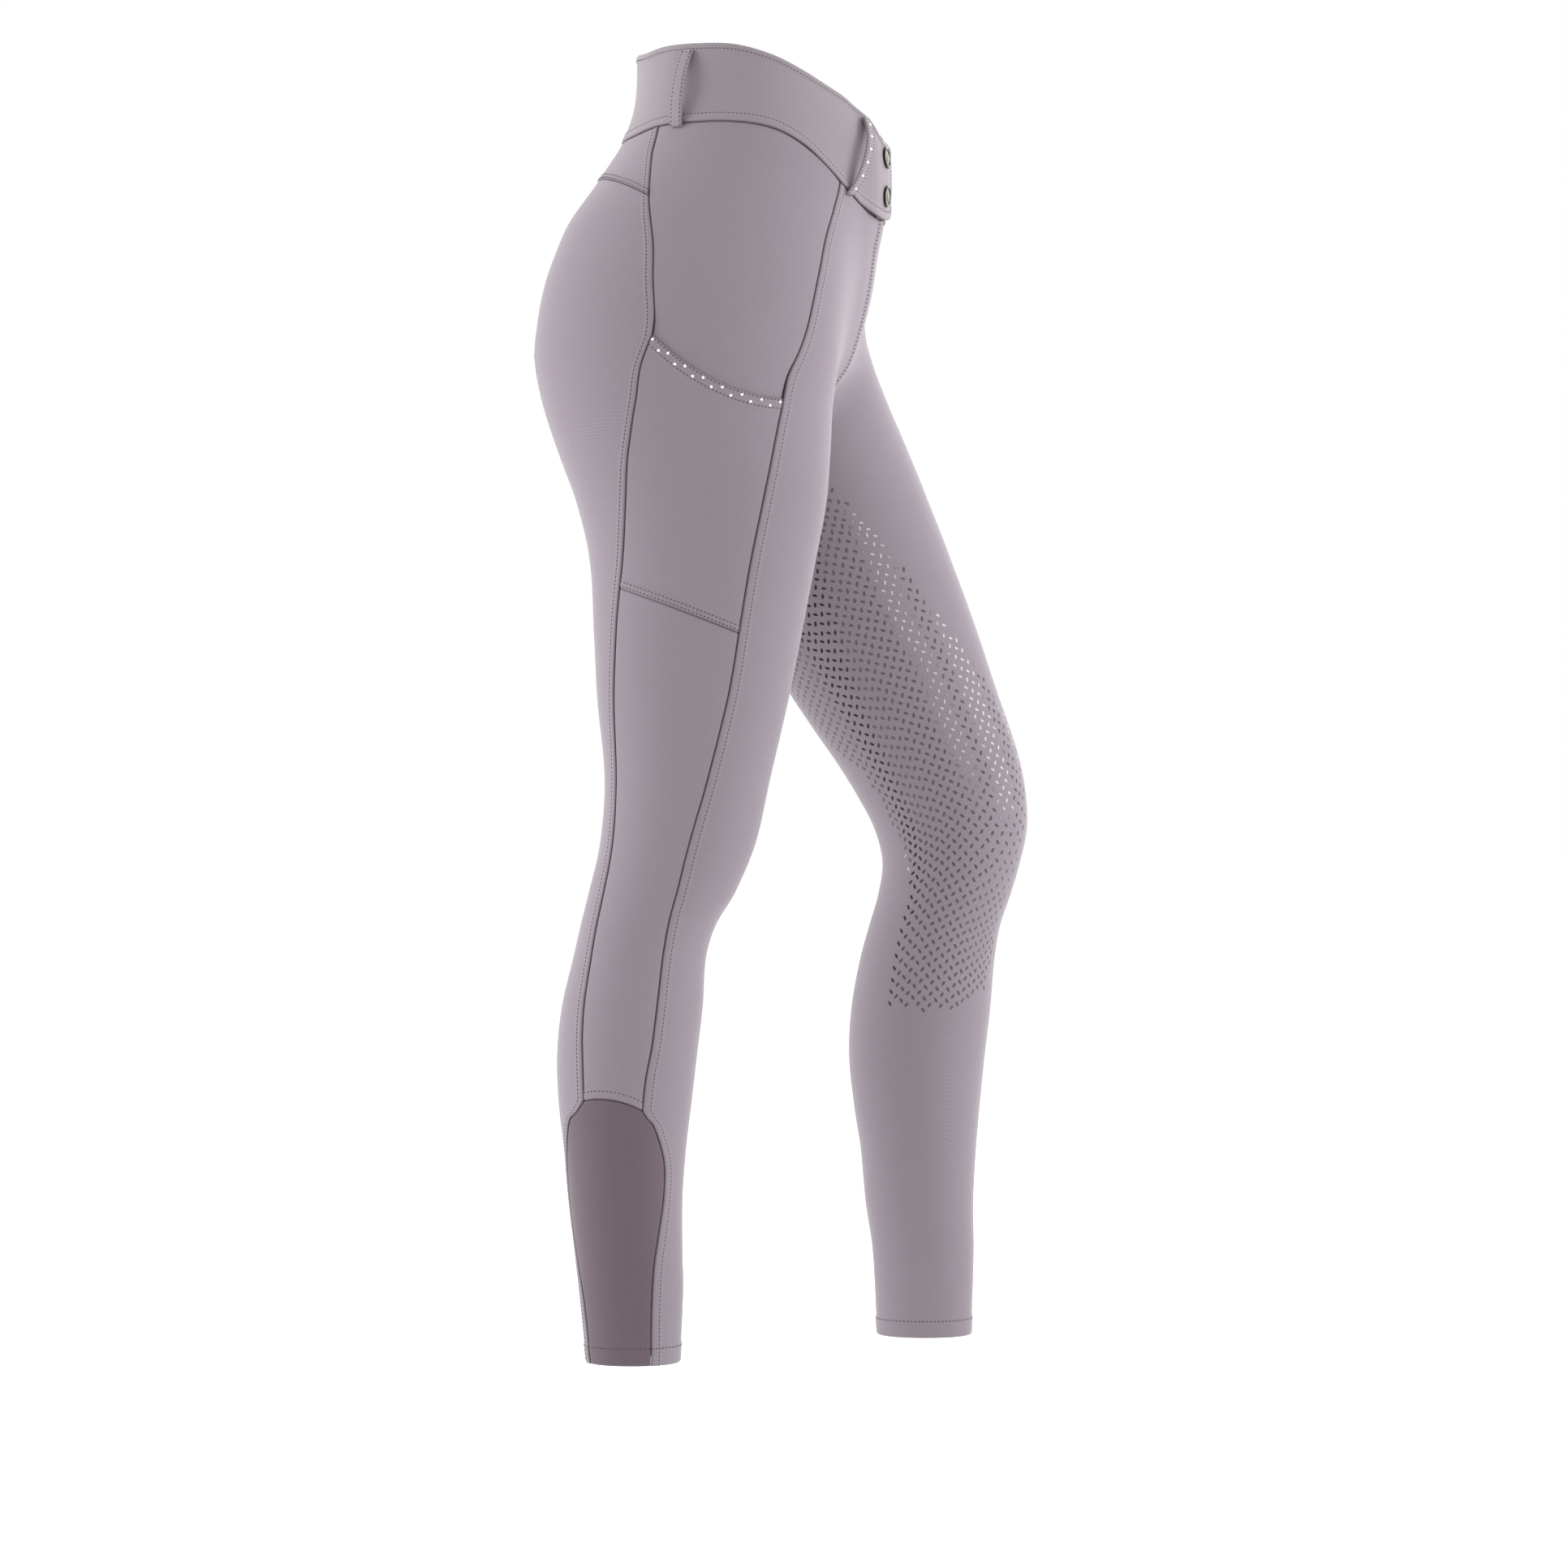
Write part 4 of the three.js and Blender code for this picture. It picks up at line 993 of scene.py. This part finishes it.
def buildWaistband():
    perDegree = tab["perDegree"]
    plain = np.linspace(tab["lapAngle"], -360 + 10, 330)
    tip = -360 - tab["tip"] + np.append(np.arange(21, 10.6, -1.5), nearSeam[::-1]) / perDegree
    turn = np.append(plain[plain > tip[0]], tip)[:, None]
    over = turn < -180
    angle = np.where(over, turn + 360, turn)
    fromTip = (turn - turn[-1]) * perDegree
    bottomSpots = onBand(lambda down: waistSpot(angle[:, 0], down), len(turn))
    r = tab["radius"]
    inset = r - np.sqrt(np.maximum(r * r - np.maximum(r - fromTip, 0) ** 2, 0))
    bottom, top = bottomSpots[:, 2:] - inset, bandTop(np.abs(angle)) + inset
    total = bottom - top
    inner = nearSeam[-1] + (total - 2 * nearSeam[-1]) * np.linspace(0, 1, 16)[None, 1:-1]
    starts = np.tile(nearSeam, (len(turn), 1))
    up = np.concatenate([starts, inner, total - nearSeam[::-1]], 1)
    spots = waistSpot(np.tile(angle, (1, up.shape[1])), bottom - up)
    along = lengthAlong(spots.transpose(1, 0, 2)).T
    part = {
        "spots": spots,
        "facing": outward(spots),
        "start": up,
        "end": total - up,
        "top": along,
        "bottom": along[-1:] - along,
        "rows": 0 * up,
    }
    part["height"] = shape["bandLift"] + np.where(over, raisedAt(angle), 0) + 0 * up
    part["height"] += seamRelief(part["end"], bandStitch["top"])
    part["height"] += seamRelief(part["start"], bandStitch["bottom"])
    part["height"] += seamRelief(part["bottom"], bandStitch["tip"], 0.8)
    # Painted shade along the seam at the band's bottom edge.
    part["ditch"] = ditchShadeOf(part, "start")
    slotName = "waistband_cloth"
    wall = shape["bandWall"]
    piece = clothPiece("waistband_cloth", [part], wall, waistKnit, slotName, ["waistband"])
    rows = (("end", "top"), ("start", "bottom"), ("bottom", "tip"))
    lines = [lineAlong(part, edge, bandStitch[k] - bands["stitchIn"]) for edge, k in rows]
    sewStitches("waistband_stitching", lines, bandThread, slotName)


loop = {"width": 10, "wall": 1.6, "bow": 8.5, "belowTop": 5, "pastSeam": 4, "stitchIn": 1.2}
loopPlaces = {
    "front_loop": {"top": 28, "bottom": 45, "stand": 0.5},
    "back_loop": {"top": 109.5, "bottom": 111.5, "stand": -0.1},
}


def buildLoop(sideName, kind):
    place, sign = loopPlaces[kind], legs[sideName]["sign"]
    top = bandTop(place["top"]) + loop["belowTop"]
    bottom = bandBottom(place["bottom"]) + loop["pastSeam"]
    t = np.linspace(0, 1, 60)
    angle = place["top"] * (1 - t) + place["bottom"] * t
    base = waistSpot(angle * sign, top * (1 - t) + bottom * t)
    facing = outward(base)
    raised = raisedAt(angle) if sideName == "right" else 0 * t
    stand = shape["bandLift"] + raised + place["stand"] + loop["wall"]
    stand = stand + loop["bow"] * np.sin(np.pi * t) ** 0.75
    level = np.cross([0, 0, 1.0], facing)
    level /= np.linalg.norm(level, axis=1, keepdims=True)
    x = np.array([0, 0.4, 0.9, 1.3, 1.8, 2.6, 3.8, 5, 6.2, 7.4, 8.2, 8.7, 9.1, 9.6, 10])
    fromMiddle = x[None, :, None] - loop["width"] / 2
    spots = (base + facing * stand[:, None])[:, None] + level[:, None] * fromMiddle
    along = lengthAlong(spots.transpose(1, 0, 2)).T
    part = {
        "spots": spots,
        "facing": np.tile(facing[:, None], (1, len(x), 1)),
        "start": np.tile(x, (len(t), 1)),
        "end": np.tile(loop["width"] - x, (len(t), 1)),
        "top": along,
        "bottom": along[-1:] - along,
        "rows": np.tile(t[:, None] * 10, (1, len(x))),
    }
    edges = ("start", "end")
    groove = sum(0.25 * np.exp(-(((part[edge] - 1.3) / 0.5) ** 2)) for edge in edges)
    part["height"] = 0.4 * sum(seamRelief(part[edge]) for edge in edges) - groove
    part["ditch"] = 0 * along
    node = sideName + "_" + kind
    piece = clothPiece(node + "_cloth", [part], loop["wall"], waistKnit, "knit_cloth", [node])
    lines = [lineAlong(part, edge, loop["stitchIn"]) for edge in edges]
    lines.append(lineAlong(part, "top", 2.5))
    sewStitches(node + "_stitching", lines, thread, "knit_cloth")
    if kind == "front_loop":
        middle = lineAlong(part, "start", loop["width"] / 2)
        at = np.linspace(0.12, 0.92, stones["onLoop"]) * lengthAlong(middle[0][None])[0, -1]
        setStones(sideName + "_loop_stones", *readAlong(middle, at))


snapCap = {
    "radius": 8.3,
    "angle": 10,
    "down": [42, 71],
    "profile": [
        (0, 1.9), (2.4, 1.85), (3.4, 1.6), (4.6, 1.25), (5.6, 1.15), (6.2, 1.3), (6.6, 1.75),
        (7.0, 2.0), (7.5, 2.0), (7.9, 1.8), (8.2, 1.3), (8.3, 0.8), (8.2, 0.4), (7.9, 0.1), (0, 0.0),
    ],
}


def buildSnap(number, down):
    seat = waistSpot(np.array([snapCap["angle"]], float), np.array([down], float))
    lift = shape["bandLift"] + shape["bandWall"] + 2 * shape["seamGap"]
    part = {"spots": seat, "facing": outward(seat), "height": np.full(1, lift)}
    bm = bmesh.new()
    verts = [bm.verts.new((r / 1000, 0, z / 1000)) for r, z in snapCap["profile"]]
    edges = [bm.edges.new(pair) for pair in zip(verts[:-1], verts[1:])]
    circle = {"cent": (0, 0, 0), "axis": (0, 0, 1), "angle": 2 * np.pi, "steps": 48}
    bmesh.ops.spin(bm, geom=verts + edges, use_merge=True, **circle)
    bmesh.ops.remove_doubles(bm, verts=bm.verts, dist=0.00001)
    bmesh.ops.recalc_face_normals(bm, faces=bm.faces)
    # Painted shade in the groove inside the rim and on the rim's outer edge.
    groove = bm.verts.layers.float.new("ditch")
    for vert in bm.verts:
        away = vert.co.xy.length * 1000
        vert[groove] = np.exp(-(((away - 5.9) / 0.7) ** 2)) + np.exp(-(((away - 8.4) / 0.4) ** 2))
    turn = Matrix(axesAt(facings(part), np.array([[0, 0, -1.0]]))[0]).transposed().to_4x4()
    bmesh.ops.transform(bm, matrix=Matrix.Translation(placed(part)[0]) @ turn, verts=bm.verts)
    node = "snap_" + str(number)
    newPiece(node + "_cap", bm, nickel, "snap_metal", [node])


for name, leg in legs.items():
    dressLeg(name, finishLeg(name, leg))
    print(name, "leg dressed")
    for kind in loopPlaces:
        buildLoop(name, kind)
buildWaistband()
print("waistband and loops made")
for number, down in enumerate(snapCap["down"]):
    buildSnap(number + 1, down)
print("snaps made")

floorSettings = {"reach": 30, "down": -1.08, "colour": "#c9c8c8", "glow": 0.44}
bm = bmesh.new()
bmesh.ops.create_grid(bm, x_segments=1, y_segments=1, size=floorSettings["reach"])
bmesh.ops.translate(bm, vec=(0, 0, floorSettings["down"]), verts=bm.verts)
mesh = bpy.data.meshes.new("floor")
bm.to_mesh(mesh)
bm.free()
paper = plainMaterial(
    "palePaper", floorSettings["colour"], 0.95, 0.005, 3, Emission_Strength=floorSettings["glow"]
)
mesh.materials.append(paper)
floor = bpy.data.objects.new("floor", mesh)
bpy.context.scene.collection.objects.link(floor)

lights = {
    "front": {"place": (-0.4, -3.0, 0.6), "size": (2.0, 2.0), "power": 95},
    "back": {"place": (-0.3, 3.0, 0.3), "size": (2.2, 2.2), "power": 115},
    "far": {"place": (2.6, -1.4, 0.9), "size": (2.2, 2.2), "power": 40},
    "strip": {"place": (-2.45, -1.65, 0.1), "size": (1.2, 0.5), "power": 12},
}
for name, settings in lights.items():
    lamp = bpy.data.lights.new(name, "AREA")
    lamp.shape, lamp.energy = "RECTANGLE", settings["power"]
    lamp.size, lamp.size_y = settings["size"]
    lampObject = bpy.data.objects.new(name, lamp)
    lampObject.location = settings["place"]
    aim = Vector((0, 0, -0.5)) - Vector(settings["place"])
    lampObject.rotation_euler = aim.to_track_quat("-Z", "Y").to_euler()
    bpy.context.scene.collection.objects.link(lampObject)
sky = bpy.data.lights.new("overhead", "SUN")
sky.energy, sky.angle = 0.4, np.radians(60)
bpy.context.scene.collection.objects.link(bpy.data.objects.new("overhead", sky))

world = bpy.data.worlds.new("studio")
world.use_nodes = True
world.node_tree.nodes["Background"].inputs["Color"].default_value = colour("#ffffff")
world.node_tree.nodes["Background"].inputs["Strength"].default_value = 1.0
bpy.context.scene.world = world
bpy.context.scene.view_settings.view_transform = "Standard"
print("stage and lights set")
